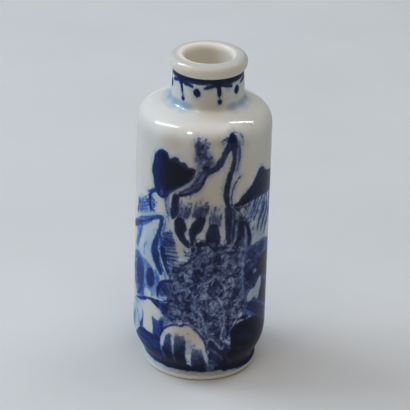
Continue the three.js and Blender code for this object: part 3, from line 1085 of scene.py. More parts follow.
        bole = [
            (-5.2, 44.3), (-4.8, 43), (-4.8, 41.5), (-5.1, 40), (-5.6, 38.9), (-6.3, 38.6), (-6.7, 40),
            (-6.7, 41.5), (-6.4, 43), (-6, 44.2),
        ]
        patch(BRUSH, bole, 0.9)
        stroke(LINE, [(-7.9, 43), (-7.9, 41.6), (-7.6, 40.2), (-7.2, 38.9), (-7.1, 37.6)], 0.17, 0.62)
        trunk = [
            (6.2, 57), (6.4, 55), (6.5, 53), (6.3, 51.2), (5.8, 49.4), (5.3, 47.5), (5, 45.6), (5, 43.9),
            (5.4, 42.3), (5.8, 40.9),
        ]
        stroke(BRUSH, trunk, (0.8, 0.55, 0.45, 0.55, 0.65, 0.65, 0.65, 0.6, 0.55, 0.6), 0.86)
        stroke(LINE, [(7.4, 56), (7.7, 53.6), (7.5, 51.6), (7.2, 49.8)], (0.3, 0.2, 0.2, 0.15), 0.5)
        spur = [(7.9, 48.3), (7.2, 47.4), (6.5, 46.2), (6.2, 44.8), (6.1, 43.4), (6.2, 42)]
        stroke(LINE, spur, 0.2, 0.72)
        stub = [(4.7, 56.2), (5.4, 57.1), (6.6, 57.2), (7.2, 56.3), (7.2, 54.8), (6.4, 54.2), (5.4, 54.6)]
        patch(BRUSH, stub, 0.86)
        stroke(LINE, [(3.6, 56.5), (4.6, 56.9), (5.6, 57.1)], (0.14, 0.22, 0.2), 0.72)
        stroke(LINE, [(3.8, 55.9), (4.7, 56.4)], 0.16, 0.5)
        hook = [(5.8, 57.4), (6.6, 57.8), (7.5, 57.7), (8.2, 57.1), (8.5, 56.2), (8.3, 55.2)]
        stroke(LINE, hook, 0.2, 0.5)
        dab(LINE, (7.6, 55.9), (0.55, 0.35), 0.66)
        mist = [
            (-1.6, 56.4), (0.1, 56.6), (1, 55), (2, 53), (2.2, 51.6), (0.6, 50.8), (-1.2, 51.4),
            (-1.6, 53.6),
        ]
        patch(WASH, mist, 0.26)
        stroke(WASH, [(-0.5, 56.2), (-0.7, 54.6), (-0.3, 52.6), (0.4, 51.2)], (0.3, 0.5, 0.6, 0.8), 0.76)
        self.sprays((-0.4, 54), (1.5, 2.7), 110, (0.12, 0.2), (0.3, 0.6))
        self.sprays((-0.4, 54.8), (1.1, 2.3), 46, (0.16, 0.3), (0.6, 0.85))
        self.sprays((1, 52), (1.2, 1.3), 28, (0.14, 0.26), (0.4, 0.7))
        self.hatch(((-1.7, 55.4), (-2, 57)), ((0.8, 55.2), (1.3, 56.4)), 7, 0.15, 0.56)
        stroke(WASH, [(7, 56), (7.3, 53.6), (7.1, 51), (6.6, 48.6)], (0.5, 0.5, 0.45, 0.2), 0.2)

    def pine_bough(self) -> None:
        """The dark arched bough at the right, with its needles hanging in a fan."""
        patch, stroke = self.canvas.patch, self.canvas.stroke
        arch = [
            (6, 42), (7.2, 42.3), (8.5, 43.4), (9.9, 44.7), (11.2, 45.7), (12.1, 46.9), (13, 48.1),
            (14, 48.6), (15, 48.2), (15.9, 47.3), (17.3, 46.6), (19, 46), (22, 44.6), (25.4, 41.6),
            (21.4, 42.6), (17, 43.4), (14, 43.6), (11.4, 42.6), (9, 41.7), (7.2, 41.5),
        ]
        patch(BRUSH, arch, 0.9)
        skirt = [
            (7.4, 41.8), (11.4, 43.2), (14.5, 44.4), (21.4, 43.4), (24.4, 42.6), (22.4, 41), (18.6, 41.2),
            (16.4, 41.6), (14, 41.8), (12, 41.8), (9.8, 41.6),
        ]
        patch(WASH, skirt, 0.8)
        below = [
            (9.4, 41), (14, 40.6), (20, 38), (20.6, 35), (17.6, 33.8), (15, 35), (12.6, 36.8), (10.4, 38.8)
        ]
        patch(WASH, below, 0.15)
        roots = [(9.2, 42), (12.4, 43), (16, 43.4), (19.4, 43), (24.2, 42.8)]
        tips = [(7.2, 40.6), (8.7, 38.3), (10.9, 35.8), (14.6, 33), (21, 34.6)]
        for root, tip in zip(evenly(roots, 25), evenly(tips, 25)):
            root = root + (self.hand.gauss(0, 0.3), self.hand.gauss(0, 0.2))
            tip = root + (tip - root) * self.hand.uniform(0.6, 1) + (self.hand.gauss(0, 0.35), 0)
            middle = root * 0.5 + tip * 0.5 + (self.hand.gauss(-0.1, 0.12), 0.25)
            wide = self.hand.uniform(0.14, 0.34)
            widths = (wide, wide * 0.8, wide * 0.35)
            stroke(LINE, [root, middle, tip], widths, self.hand.uniform(0.6, 0.92))
        for x, y, slant in (
            (11.6, 41.8, 1.6), (13.2, 42.2, 1.4), (14.9, 42.4, 1.1), (16.7, 42.3, 0.8), (18.4, 42, 0.4)
        ):
            gap = [(x + slant * 0.3, y + 0.5), (x - slant * 0.4, y - 1.4), (x - slant, y - 3)]
            stroke(BARE, gap, (0.08, 0.14, 0.08), 0.5)
        tuft = [(10.4, 41.6), (14, 41.6), (19.6, 40), (19.4, 36.8), (16, 36.4), (12.6, 38.4)]
        self.scribble(tuft, 46, 0.13, (0.4, 0.75))
        for x, y in ((13.4, 35.2), (14.8, 33.8), (16.4, 32.4)):
            stroke(BRUSH, [(x + 3.0, y + 4.2), (x + 1.2, y + 2.0), (x, y)], (0.4, 0.42, 0.18), 0.72)

    def far_shore(self) -> None:
        """The quieter side: distant hills, a low bank with rocks, one small tree and a few reeds."""
        stroke, patch, dab = self.canvas.stroke, self.canvas.patch, self.canvas.dab
        for x, y, wide, tall, tone in (
            (30, 34, 7, 6.5, 0.3), (39, 33, 6, 4.5, 0.22), (-31, 36, 7.5, 7, 0.28)
        ):
            hill = [
                (x - wide, y), (x - wide * 0.5, y + tall * 0.55), (x - wide * 0.1, y + tall),
                (x + wide * 0.35, y + tall * 0.6), (x + wide, y),
            ]
            patch(WASH, [*hill, (x, y + 0.8)], tone)
            stroke(LINE, hill, (0.12, 0.2, 0.26, 0.2, 0.1), 0.7)
        for x, y, wide in ((34, 27, 6), (40, 24.5, 4.5), (-36, 28, 6), (-29, 25, 4), (46, 30, 5)):
            stroke(LINE, [(x - wide / 2, y), (x, y + 0.2), (x + wide / 2, y - 0.1)], (0.1, 0.18, 0.1), 0.5)
        for x, wide, tall in ((31, 5, 6), (-33, 6, 8), (43, 7, 4.5), (-25, 4, 4.5)):
            base = 2.4
            rock = [
                (x - wide, base), (x - wide * 0.8, base + tall * 0.6), (x - wide * 0.2, base + tall),
                (x + wide * 0.5, base + tall * 0.75), (x + wide, base),
            ]
            patch(BRUSH, rock, Fade(base, base + tall, 0.92, 0.5))
            stroke(LINE, rock, 0.2, 0.88)
            light = [
                (x - wide * 0.6, base + tall * 0.55), (x - wide * 0.1, base + tall * 0.8),
                (x + wide * 0.3, base + tall * 0.6),
            ]
            stroke(BARE, light, (0.15, 0.4, 0.15), 0.7)
        tree = [(-34, 9), (-33.2, 13), (-34.4, 17), (-33.4, 21), (-34.6, 25)]
        stroke(BRUSH, tree, (0.8, 0.55, 0.5, 0.4, 0.25), 0.84)
        stroke(BRUSH, [(-33.6, 17), (-31.4, 19.4), (-29.4, 20.2)], (0.35, 0.25, 0.15), 0.82)
        stroke(BRUSH, [(-34.2, 20), (-36.4, 22.2), (-38.4, 22.6)], (0.3, 0.22, 0.15), 0.82)
        for centre, reach in (
            ((-35, 26.2), (3, 2.2)), ((-29.4, 21.4), (2.4, 1.6)), ((-38.6, 23.8), (2.2, 1.5))
        ):
            dab(WASH, centre, reach, 0.42)
            dab(LEAF, centre, reach, 0.8)
            self.sprays(centre, reach, 34, (0.16, 0.28), (0.5, 0.85))
        for first, last, count in (
            (((24, 8), (23.2, 15)), ((29, 8), (30.6, 13)), 7),
            (((-21.5, 6), (-22.6, 13)), ((-19, 7), (-18.2, 12)), 5),
            (((38, 6), (37.2, 11)), ((41, 6), (42.4, 10)), 6),
        ):
            self.hatch(first, last, count, 0.2, 0.72)


@dataclass
class NeckBand:
    """The band round the neck: soft pendants and dots hang from it, over a pale ring at the neck's foot.

    Across is measured as on the wall, so shapes on the narrower neck are drawn wider than they look.
    """

    canvas: Canvas
    profile: Profile
    pendants: tuple[float, ...] = (-11.6, 4.4, 21.0, 35.5, -40.0, -26.5)
    ovals: tuple[float, ...] = (-4.2, 12.7, 28.2, 42.3, -33.2, -19.2)
    pools: tuple[float, ...] = (-34, -27, -20, -14, -8.5, 10.5, 16, 22, 29, 36)
    pool_rise: float = 0.85
    pool_height: float = 1.25
    side_pool: float = 7.0
    front_pool: float = 4.5
    front: float = 12.0
    band_drop: float = 0.45
    band_waver: float = 0.12
    bead: Point = (1.1, 0.62)
    oval: Point = (1.75, 0.95)

    def paint(self) -> None:
        """Paints the band, the pools of thin cobalt under it, and what hangs from it."""
        top = self.profile.lip_underside
        lowest = top - self.band_drop
        band = [(x, lowest + self.band_waver * math.sin(0.4 * x + 1)) for x in self.canvas.ring(24)]
        self.canvas.stroke(BRUSH, band, 0.75, 0.93)
        for x in self.pools:
            wide = self.side_pool if abs(x) > self.front else self.front_pool
            self.canvas.cloud(
                "haze", (x, self.profile.neck_base + self.pool_rise), (wide, self.pool_height), 0.2
            )
        for i, x in enumerate(self.pendants):
            self.pendant(x, heavy=i % 2 == 1)
        for x in self.ovals:
            self.canvas.dab(BRUSH, (x, top - 3.0), self.oval, 0.97)

    def pendant(self, x: float, heavy: bool) -> None:
        """Paints one pendant: a blot under the band, two arms, a stem and a bead.

        Args:
            x: Where it hangs.
            heavy: Whether it is one of the stout upright ones, which take turns with thin leaning ones.
        """
        stroke, top = self.canvas.stroke, self.profile.lip_underside
        lean, wide, stem = (0.3, 2.6, 0.95) if heavy else (1.5, 3.0, 0.7)
        blot = [
            (x - wide - 1.5, top - 0.5), (x + wide + 1.5, top - 0.5), (x + wide * 0.5, top - 1.5),
            (x + 0.6, top - 2.0), (x - 0.8, top - 2.0), (x - wide * 0.6, top - 1.6),
        ]
        self.canvas.patch(BRUSH, blot, 0.96)
        for side in (-1, 1):
            arm = [(x + side * 0.8, top - 1.0), (x + side * 3.0, top - 1.5), (x + side * 5.8, top - 1.9)]
            stroke(BRUSH, arm, (0.55, 0.5, 0.25), 0.9)
        stroke(BRUSH, [(x, top - 1.6), (x + lean * 0.5, top - 3.1)], (stem, stem * 0.8), 0.96)
        stroke(LINE, [(x + lean * 0.5, top - 3.0), (x + lean * 0.9, top - 4.2)], (0.4, 0.2), 0.74)
        self.canvas.dab(BRUSH, (x + lean, top - 4.85), self.bead, 1.0)


# -----------------------------------------------------------------------------
# Materials
# -----------------------------------------------------------------------------


@dataclass(frozen=True)
class Noise:
    """A noise pattern on the object's own coordinates.

    Attributes:
        size: How large its features are, in millimetres.
        detail: How many finer octaves it has.
        roughness: How strong those are.
        shift: How far the pattern is moved, so that two of them don't agree.
        stretch: How the height of a moved pattern is scaled: below 1 draws its features out upright.
    """

    size: float
    detail: float
    roughness: float = 0.5
    shift: float = 0.0
    stretch: float = 1.0


class Graph:
    """A node tree that is being filled in, for a material or a group."""

    def __init__(self, tree: bpy.types.NodeTree) -> None:
        """Starts on a tree."""
        self.tree = tree
        self.column = 0

    def add(self, kind: str, **settings: object) -> bpy.types.Node:
        """Adds a node.

        Args:
            kind: The node's type name.
            settings: Its properties, by name.

        Returns:
            The node.
        """
        node = self.tree.nodes.new(kind)
        self.column += 1
        node.location = (180 * self.column, -60 * (self.column % 5))
        for name, value in settings.items():
            setattr(node, name, value)
        return node

    def feed(self, socket: bpy.types.NodeSocket, value: object) -> None:
        """Links a socket to another one, or sets its plain value."""
        if isinstance(value, bpy.types.NodeSocket):
            self.tree.links.new(value, socket)
        else:
            socket.default_value = value

    def math(self, operation: str, *values: object, clamp: bool = False) -> bpy.types.NodeSocket:
        """A sum on one or two values, which may be sockets or numbers."""
        node = self.add("ShaderNodeMath", operation=operation, use_clamp=clamp)
        for socket, value in zip(node.inputs, values):
            self.feed(socket, value)
        return node.outputs[0]

    def plus(self, first: object, second: object) -> bpy.types.NodeSocket:
        """Two values added."""
        return self.math("ADD", first, second)

    def minus(self, first: object, second: object) -> bpy.types.NodeSocket:
        """The second value taken from the first."""
        return self.math("SUBTRACT", first, second)

    def times(self, first: object, second: object, clamp: bool = False) -> bpy.types.NodeSocket:
        """Two values multiplied."""
        return self.math("MULTIPLY", first, second, clamp=clamp)

    def ease(
        self, value: object, between: Sequence[object], ends: Point = (0.0, 1.0)
    ) -> bpy.types.NodeSocket:
        """A value eased from one range onto another and held at its ends."""
        node = self.add("ShaderNodeMapRange", interpolation_type="SMOOTHSTEP")
        for socket, given in zip(node.inputs, (value, *between, *ends)):
            self.feed(socket, given)
        return node.outputs["Result"]

    def field(self, name: str) -> bpy.types.NodeSocket:
        """The values of a field that is stored on the mesh."""
        return self.add("ShaderNodeAttribute", attribute_name=name).outputs["Fac"]

    def place(self) -> bpy.types.NodeSocket:
        """Where a point lies on the object, in metres."""
        return self.add("ShaderNodeTexCoord").outputs["Object"]

    def noise(self, pattern: Noise) -> bpy.types.NodeSocket:
        """A pattern's value, from 0 to 1."""
        place = self.place()
        if pattern.shift:
            mapping = self.add("ShaderNodeMapping")
            self.feed(mapping.inputs["Vector"], place)
            self.feed(mapping.inputs["Location"], (pattern.shift, -pattern.shift, 2 * pattern.shift))
            self.feed(mapping.inputs["Scale"], (1, 1, pattern.stretch))
            place = mapping.outputs["Vector"]
        node = self.add("ShaderNodeTexNoise")
        self.feed(node.inputs["Vector"], place)
        self.feed(node.inputs["Scale"], 1 / (pattern.size * MM))
        self.feed(node.inputs["Detail"], pattern.detail)
        self.feed(node.inputs["Roughness"], pattern.roughness)
        return node.outputs["Fac"]

    def ramp(
        self, value: object, stops: Sequence[float], colours: Sequence[Colour]
    ) -> bpy.types.NodeSocket:
        """A colour that changes along a value, and has each of the colours at its own stop."""
        node = self.add("ShaderNodeValToRGB")
        elements = node.color_ramp.elements
        while len(elements) < len(stops):
            elements.new(0.5)
        for element, stop, colour in zip(elements, stops, colours):
            element.position = stop
            element.color = colour
        self.feed(node.inputs["Fac"], value)
        return node.outputs["Color"]

    def blend(
        self, factor: object, first: object, second: object, mode: str = "MIX"
    ) -> bpy.types.NodeSocket:
        """Two colours mixed in one of Blender's modes."""
        node = self.add("ShaderNodeMix", data_type="RGBA", blend_type=mode)
        self.feed(node.inputs["Factor"], factor)
        self.feed(node.inputs["A"], first)
        self.feed(node.inputs["B"], second)
        return node.outputs["Result"]

    def bump(self, height: object, strength: float, depth: float) -> bpy.types.NodeSocket:
        """The normal of a surface with a height on it.

        Args:
            height: The height, from 0 to 1.
            strength: How much of it shows.
            depth: How deep it is, in millimetres.

        Returns:
            The normal.
        """
        node = self.add("ShaderNodeBump")
        self.feed(node.inputs["Strength"], strength)
        self.feed(node.inputs["Distance"], depth * MM)
        self.feed(node.inputs["Height"], height)
        return node.outputs["Normal"]


@dataclass(frozen=True)
class Effect:
    """A node group that the finishes use. Each is built once, when it is first placed."""

    name: str = ""
    takes: tuple[tuple[str, float], ...] = ()
    gives: tuple[tuple[str, str], ...] = ()

    def place(self, graph: Graph, **values: object) -> bpy.types.Node:
        """Puts the effect in a material.

        Args:
            graph: The material's nodes.
            values: What its inputs get, by name.

        Returns:
            The group's node, with the effect's outputs.
        """
        node = graph.add("ShaderNodeGroup")
        node.node_tree = bpy.data.node_groups.get(self.name) or self.make()
        for name, value in values.items():
            graph.feed(node.inputs[name], value)
        return node

    def make(self) -> bpy.types.NodeTree:
        """Builds the group, with its named sockets."""
        tree = bpy.data.node_groups.new(self.name, "ShaderNodeTree")
        for name, value in self.takes:
            socket = tree.interface.new_socket(name, in_out="INPUT", socket_type="NodeSocketFloat")
            socket.default_value = value
        for name, kind in self.gives:
            tree.interface.new_socket(name, in_out="OUTPUT", socket_type=kind)
        graph = Graph(tree)
        inlet, outlet = graph.add("NodeGroupInput"), graph.add("NodeGroupOutput")
        self.fill(graph, inlet.outputs, outlet.inputs)
        return tree

    def fill(self, graph: Graph, taken: bpy.types.NodeOutputs, given: bpy.types.NodeInputs) -> None:
        """Adds the nodes between the group's inputs and its outputs."""
        raise NotImplementedError


@dataclass(frozen=True)
class BrushHand(Effect):
    """How a loaded brush wanders: edges that waver, cloudy tone, and the grain of ground cobalt."""

    name: str = "Brush hand"
    gives: tuple[tuple[str, str], ...] = tuple(
        (kind, "NodeSocketFloat") for kind in ("Wobble", "Cloud", "Grain", "Streak")
    )
    waver: Noise = Noise(1.3, 2.0)
    waver_reach: float = 0.55
    shake: Noise = Noise(0.35, 1.0, shift=0.3)
    shake_reach: float = 0.3
    cloud: Noise = Noise(2.2, 3.0, 0.6, shift=0.7)
    grain: Noise = Noise(0.28, 3.0, 0.65, shift=1.1)
    streak: Noise = Noise(0.7, 2.0, 0.6, shift=1.6, stretch=0.3)

    def fill(self, graph: Graph, taken: bpy.types.NodeOutputs, given: bpy.types.NodeInputs) -> None:
        """Wobble is in millimetres about 0. Cloud, Grain and the upright Streak run from 0 to 1."""
        broad = graph.times(graph.minus(graph.noise(self.waver), 0.5), self.waver_reach)
        fine = graph.times(graph.minus(graph.noise(self.shake), 0.5), self.shake_reach)
        graph.feed(given["Wobble"], graph.plus(broad, fine))
        graph.feed(given["Cloud"], graph.noise(self.cloud))
        graph.feed(given["Grain"], graph.noise(self.grain))
        graph.feed(given["Streak"], graph.noise(self.streak))


@dataclass(frozen=True)
class CobaltLayer(Effect):
    """One pass of cobalt, from the distance to the edge of its nearest mark and that mark's tone."""

    name: str = "Cobalt layer"
    takes: tuple[tuple[str, float], ...] = (
        ("Edge", -1.0),
        ("Tone", 0.0),
        ("Wobble", 0.0),
        ("Softness", 0.1),
        ("Halo", 0.15),
    )
    gives: tuple[tuple[str, str], ...] = (("Density", "NodeSocketFloat"),)
    thin_rim: float = 0.9
    rim_strength: float = 0.88
    halo_from: Point = (-1.3, 0.1)

    def fill(self, graph: Graph, taken: bpy.types.NodeOutputs, given: bpy.types.NodeInputs) -> None:
        """A mark is thinner in its rim, fades over its softness, and bleeds a faint halo into the glaze."""
        edge = graph.plus(taken["Edge"], taken["Wobble"])
        cover = graph.ease(edge, (graph.times(taken["Softness"], -1.0), taken["Softness"]))
        body = graph.times(cover, graph.ease(edge, (0.0, self.thin_rim), (self.rim_strength, 1.0)))
        halo = graph.times(graph.ease(taken["Edge"], self.halo_from), taken["Halo"])
        density = graph.times(taken["Tone"], graph.math("MAXIMUM", body, halo), clamp=True)
        graph.feed(given["Density"], density)


@dataclass(frozen=True)
class PorcelainBody(Effect):
    """Greyish-white porcelain, with a faint cloud in it and a few iron specks."""

    name: str = "Porcelain body"
    gives: tuple[tuple[str, str], ...] = (("Colour", "NodeSocketColor"),)
    cloud: Noise = Noise(14.0, 3.0, 0.6, shift=0.2)
    cloud_stops: Point = (0.3, 0.7)
    greenish: Colour = (0.70, 0.70, 0.63, 1.0)
    whiter: Colour = (0.75, 0.74, 0.70, 1.0)
    speck: Noise = Noise(0.8, 1.0, shift=2.3)
    speck_rim: Point = (0.79, 0.84)
    speck_strength: float = 0.75
    iron: Colour = (0.22, 0.12, 0.06, 1.0)

    def fill(self, graph: Graph, taken: bpy.types.NodeOutputs, given: bpy.types.NodeInputs) -> None:
        """The cloud goes between the greenish and the whiter tint, and the specks lie over it."""
        cloud = graph.ramp(graph.noise(self.cloud), self.cloud_stops, (self.greenish, self.whiter))
        speck = graph.ease(graph.noise(self.speck), self.speck_rim, (0.0, self.speck_strength))
        graph.feed(given["Colour"], graph.blend(speck, cloud, self.iron))


@dataclass(frozen=True)
class GlazeSkin(Effect):
    """The glaze's surface: long shallow waves, orange peel and scattered pinholes."""

    name: str = "Glaze skin"
    gives: tuple[tuple[str, str], ...] = (("Height", "NodeSocketFloat"), ("Roughness", "NodeSocketFloat"))
    waves: Noise = Noise(6.0, 1.0, shift=0.9)
    peel: Noise = Noise(0.9, 2.0, shift=1.7)
    peel_height: float = 0.16
    pits: Noise = Noise(0.45, 0.0, shift=3.1)
    pit_rim: Point = (0.76, 0.8)
    pit_depth: float = 0.25
    pit_roughness: float = 0.3
    gloss_roughness: float = 0.14

    def fill(self, graph: Graph, taken: bpy.types.NodeOutputs, given: bpy.types.NodeInputs) -> None:
        """Height is for a bump node. Roughness is low, and higher in the pinholes."""
        peel = graph.times(graph.noise(self.peel), self.peel_height)
        pits = graph.ease(graph.noise(self.pits), self.pit_rim)
        surface = graph.plus(graph.noise(self.waves), peel)
        graph.feed(given["Height"], graph.minus(surface, graph.times(pits, self.pit_depth)))
        roughness = graph.plus(graph.times(pits, self.pit_roughness), self.gloss_roughness)
        graph.feed(given["Roughness"], roughness)


@dataclass(frozen=True)
class Surface:
    """What a finish is made of: a named material with one shader."""

    name: str = ""

    def make(self) -> bpy.types.Material:
        """Builds the material."""
        material = bpy.data.materials.new(self.name)
        material.use_nodes = True
        self.fill(Graph(material.node_tree), material.node_tree.nodes["Principled BSDF"].inputs)
        return material

    def fill(self, graph: Graph, shader: bpy.types.NodeInputs) -> None:
        """Feeds the shader's inputs."""
        raise NotImplementedError


@dataclass(frozen=True)
class Glazed(Surface):
    """Clear glossy glaze over plain porcelain, tinted a little by where it lies, with painted light inside
    the mouth, painted warm light on the lip and painted shade on its crest.
    """

    name: str = "clear glaze"
    coat: float = 0.38
    coat_roughness: float = 0.05
    ripple: float = 0.12
    ripple_depth: float = 0.2
    tinting: float = 0.7
    # Painted light: the inside is brighter and warmer, the lip's warm tint is partly painted warm light,
    # and its crest is darkened as painted shade.
    inside: Colour = (0.94, 0.87, 0.75, 1.0)
    lip_warm_tint_and_light: Colour = (0.86, 0.75, 0.61, 1.0)
    lip_crest_painted_shade: Colour = (0.46, 0.45, 0.41, 1.0)
    foot: Colour = (0.92, 0.89, 0.82, 1.0)
    lip_radii: Point = (5.2, 6.4)
    crest_heights: Point = (68.6, 69.9)
    foot_heights: Point = (5.0, 10.0)

    def fill(self, graph: Graph, shader: bpy.types.NodeInputs) -> None:
        """The colour lies under a rippled coat, which alone is glossy."""
        skin = GlazeSkin().place(graph).outputs
        graph.feed(shader["Base Color"], self.colour(graph))
        graph.feed(shader["Normal"], graph.bump(skin["Height"], self.ripple, self.ripple_depth))
        graph.feed(shader["Roughness"], skin["Roughness"])
        graph.feed(shader["Specular IOR Level"], 0.0)
        graph.feed(shader["Coat Weight"], self.coat)
        graph.feed(shader["Coat Roughness"], self.coat_roughness)

    def colour(self, graph: Graph) -> bpy.types.NodeSocket:
        """The colour under the glaze: a brighter warm tint inside as painted light, a warm tint up the lip
        that is partly painted warm light, painted shade on its crest, and a pale tint at the foot.
        """
        place = graph.place()
        flat = graph.add("ShaderNodeVectorMath", operation="MULTIPLY")
        graph.feed(flat.inputs[0], place)
        graph.feed(flat.inputs[1], (1.0, 1.0, 0.0))
        length = graph.add("ShaderNodeVectorMath", operation="LENGTH")
        graph.feed(length.inputs[0], flat.outputs["Vector"])
        split = graph.add("ShaderNodeSeparateXYZ")
        graph.feed(split.inputs["Vector"], place)
        height = split.outputs["Z"]
        # Up the lip its warm painted light darkens into painted shade at the crest; inside the mouth the
        # brighter painted light takes over.
        crest = graph.ease(height, in_metres(self.crest_heights))
        lip = graph.blend(crest, self.lip_warm_tint_and_light, self.lip_crest_painted_shade)
        tint = graph.blend(graph.ease(length.outputs["Value"], in_metres(self.lip_radii)), self.inside, lip)
        tint = graph.blend(graph.ease(height, in_metres(self.foot_heights), (1.0, 0.0)), tint, self.foot)
        return graph.blend(self.tinting, PorcelainBody().place(graph).outputs["Colour"], tint)


@dataclass(frozen=True)
class PaintedGlaze(Glazed):
    """Clear glaze over the cobalt landscape, which is read from the wall's painted fields.

    Attributes:
        softness: Half the width of a mark's soft edge, in millimetres.
        halo: How strong the blue is that bleeds from a mark.
        stain_and_reflection_tint: What the stained places are multiplied by: mostly a painted warm
            reflection across the front, the neck and the foot, with a few faint stains.
        uneven: The brush hand's patterns that thin the cobalt, each with a least and a most power.
        uneven_stops: Where those patterns change.
        curls: The patterns of curled leaves. A curl follows each one's middle value.
        curl_rim: How far from that value a curl begins to fade, and where it ends.
        stops: How dense the cobalt is at each of the colours that follow.
        clear_blue: What clear cobalt lets through, from none of it to the densest.
        inky_blue: What inky cobalt lets through, likewise.
    """

    name: str = "painted glaze"
    softness: float = 0.24
    halo: float = 0.11
    stain_and_reflection_tint: Colour = (0.80, 0.71, 0.62, 1.0)
    uneven: tuple[tuple[str, float, float], ...] = (
        ("Cloud", 1.3, 0.8),
        ("Grain", 1.2, 0.86),
        ("Streak", 1.2, 0.86),
    )
    uneven_stops: Point = (0.3, 0.7)
    curls: tuple[Noise, ...] = (Noise(2.0, 0.6, shift=0.4), Noise(1.5, 0.6, shift=1.9))
    curl_rim: Point = (0.014, 0.055)
    stops: tuple[float, ...] = (0.0, 0.12, 0.25, 0.38, 0.5, 0.62, 0.75, 0.88, 1.0)
    clear_blue: tuple[Colour, ...] = (
        (1.0, 1.0, 1.0, 1.0),
        (0.64, 0.79, 0.98, 1.0),
        (0.35, 0.55, 0.92, 1.0),
        (0.155, 0.32, 0.76, 1.0),
        (0.07, 0.18, 0.64, 1.0),
        (0.032, 0.095, 0.44, 1.0),
        (0.013, 0.042, 0.25, 1.0),
        (0.006, 0.018, 0.13, 1.0),
        (0.003, 0.006, 0.028, 1.0),
    )
    inky_blue: tuple[Colour, ...] = (
        (1.0, 1.0, 1.0, 1.0),
        (0.64, 0.73, 0.90, 1.0),
        (0.43, 0.51, 0.72, 1.0),
        (0.25, 0.31, 0.52, 1.0),
        (0.145, 0.185, 0.37, 1.0),
        (0.08, 0.105, 0.24, 1.0),
        (0.036, 0.052, 0.15, 1.0),
        (0.012, 0.019, 0.07, 1.0),
        (0.003, 0.005, 0.020, 1.0),
    )

    def colour(self, graph: Graph) -> bpy.types.NodeSocket:
        """Porcelain seen through the cobalt that lies on it."""
        cobalt = self.cobalt(graph)
        clear = graph.ramp(cobalt, self.stops, self.clear_blue)
        inky = graph.ramp(cobalt, self.stops, self.inky_blue)
        body = PorcelainBody().place(graph).outputs["Colour"]
        # Painted warm reflection, with a few faint stains: the porcelain is multiplied by the warm tint
        # where the stain field lies.
        body = graph.blend(graph.field("stain"), body, self.stain_and_reflection_tint, "MULTIPLY")
        return graph.blend(1.0, body, graph.blend(graph.field("ink"), clear, inky), "MULTIPLY")

    def cobalt(self, graph: Graph) -> bpy.types.NodeSocket:
        """How dense all the cobalt is, with what is left bare taken out and the haze added."""
        hand = BrushHand().place(graph).outputs
        through = 1.0
        for one in (WASH, BRUSH, LINE):
            through = graph.times(through, graph.minus(1.0, self.density(graph, one, hand["Wobble"])))
        through = graph.times(through, self.past_curls(graph, self.density(graph, LEAF, hand["Wobble"])))
        painted = graph.minus(1.0, self.density(graph, BARE, hand["Wobble"]))
        cobalt = graph.times(graph.minus(1.0, through), painted)
        for pattern, least, most in self.uneven:
            power = graph.ease(hand[pattern], self.uneven_stops, (least, most))
            cobalt = graph.math("POWER", cobalt, power, clamp=True)
        clear = graph.times(graph.minus(1.0, cobalt), graph.minus(1.0, graph.field("haze")))
        return graph.minus(1.0, clear)

    def density(self, graph: Graph, one: Pass, wobble: bpy.types.NodeSocket) -> bpy.types.NodeSocket:
        """How much cobalt one pass has, from its two fields on the wall."""
        layer = CobaltLayer().place(
            graph,
            Edge=graph.field(f"{one.value}_edge"),
            Tone=graph.field(f"{one.value}_tone"),
            Wobble=wobble,
            Softness=self.softness,
            Halo=0.0 if one in (BARE, LEAF) else self.halo,
        )
        return layer.outputs["Density"]

    def past_curls(self, graph: Graph, leaf: bpy.types.NodeSocket) -> bpy.types.NodeSocket:
        """How much light gets past the fine curls that fill the leafy places."""
        through = 1.0
        for pattern in self.curls:
            off_middle = graph.math("ABSOLUTE", graph.minus(graph.noise(pattern), 0.5))
            curl = graph.times(graph.ease(off_middle, self.curl_rim, (1.0, 0.0)), leaf)
            through = graph.times(through, graph.minus(1.0, curl))
        return through


@dataclass(frozen=True)
class Biscuit(Surface):
    """Bare fired clay, warm and dull, where the foot ring was wiped clean of glaze."""

    name: str = "bare fired rim"
    stain: Noise = Noise(3.0, 4.0, 0.65, shift=0.5)
    stain_stops: Point = (0.35, 0.75)
    pale: Colour = (0.62, 0.55, 0.46, 1.0)
    stained: Colour = (0.33, 0.24, 0.16, 1.0)
    grit: Noise = Noise(0.25, 3.0, 0.6)
    grit_strength: float = 0.5
    grit_depth: float = 0.1
    roughness: float = 0.75

    def fill(self, graph: Graph, shader: bpy.types.NodeInputs) -> None:
        """Stained clay with a fine grit in it."""
        colour = graph.ramp(graph.noise(self.stain), self.stain_stops, (self.pale, self.stained))
        graph.feed(shader["Base Color"], colour)
        graph.feed(
            shader["Normal"], graph.bump(graph.noise(self.grit), self.grit_strength, self.grit_depth)
        )
        graph.feed(shader["Roughness"], self.roughness)


@dataclass(frozen=True)
class PaleFloor(Surface):
    """A matt pale grey floor, very faintly clouded."""

    name: str = "pale floor"
    cloud: Noise = Noise(40.0, 3.0)
    cloud_stops: Point = (0.3, 0.7)
    darker: Colour = (0.60, 0.60, 0.60, 1)
    lighter: Colour = (0.63, 0.63, 0.63, 1)
    roughness: float = 0.9

    def fill(self, graph: Graph, shader: bpy.types.NodeInputs) -> None:
        """The cloud goes between the darker and the lighter grey."""
        grey = graph.ramp(graph.noise(self.cloud), self.cloud_stops, (self.darker, self.lighter))
        graph.feed(shader["Base Color"], grey)
        graph.feed(shader["Roughness"], self.roughness)


# -----------------------------------------------------------------------------
# The pieces
# -----------------------------------------------------------------------------


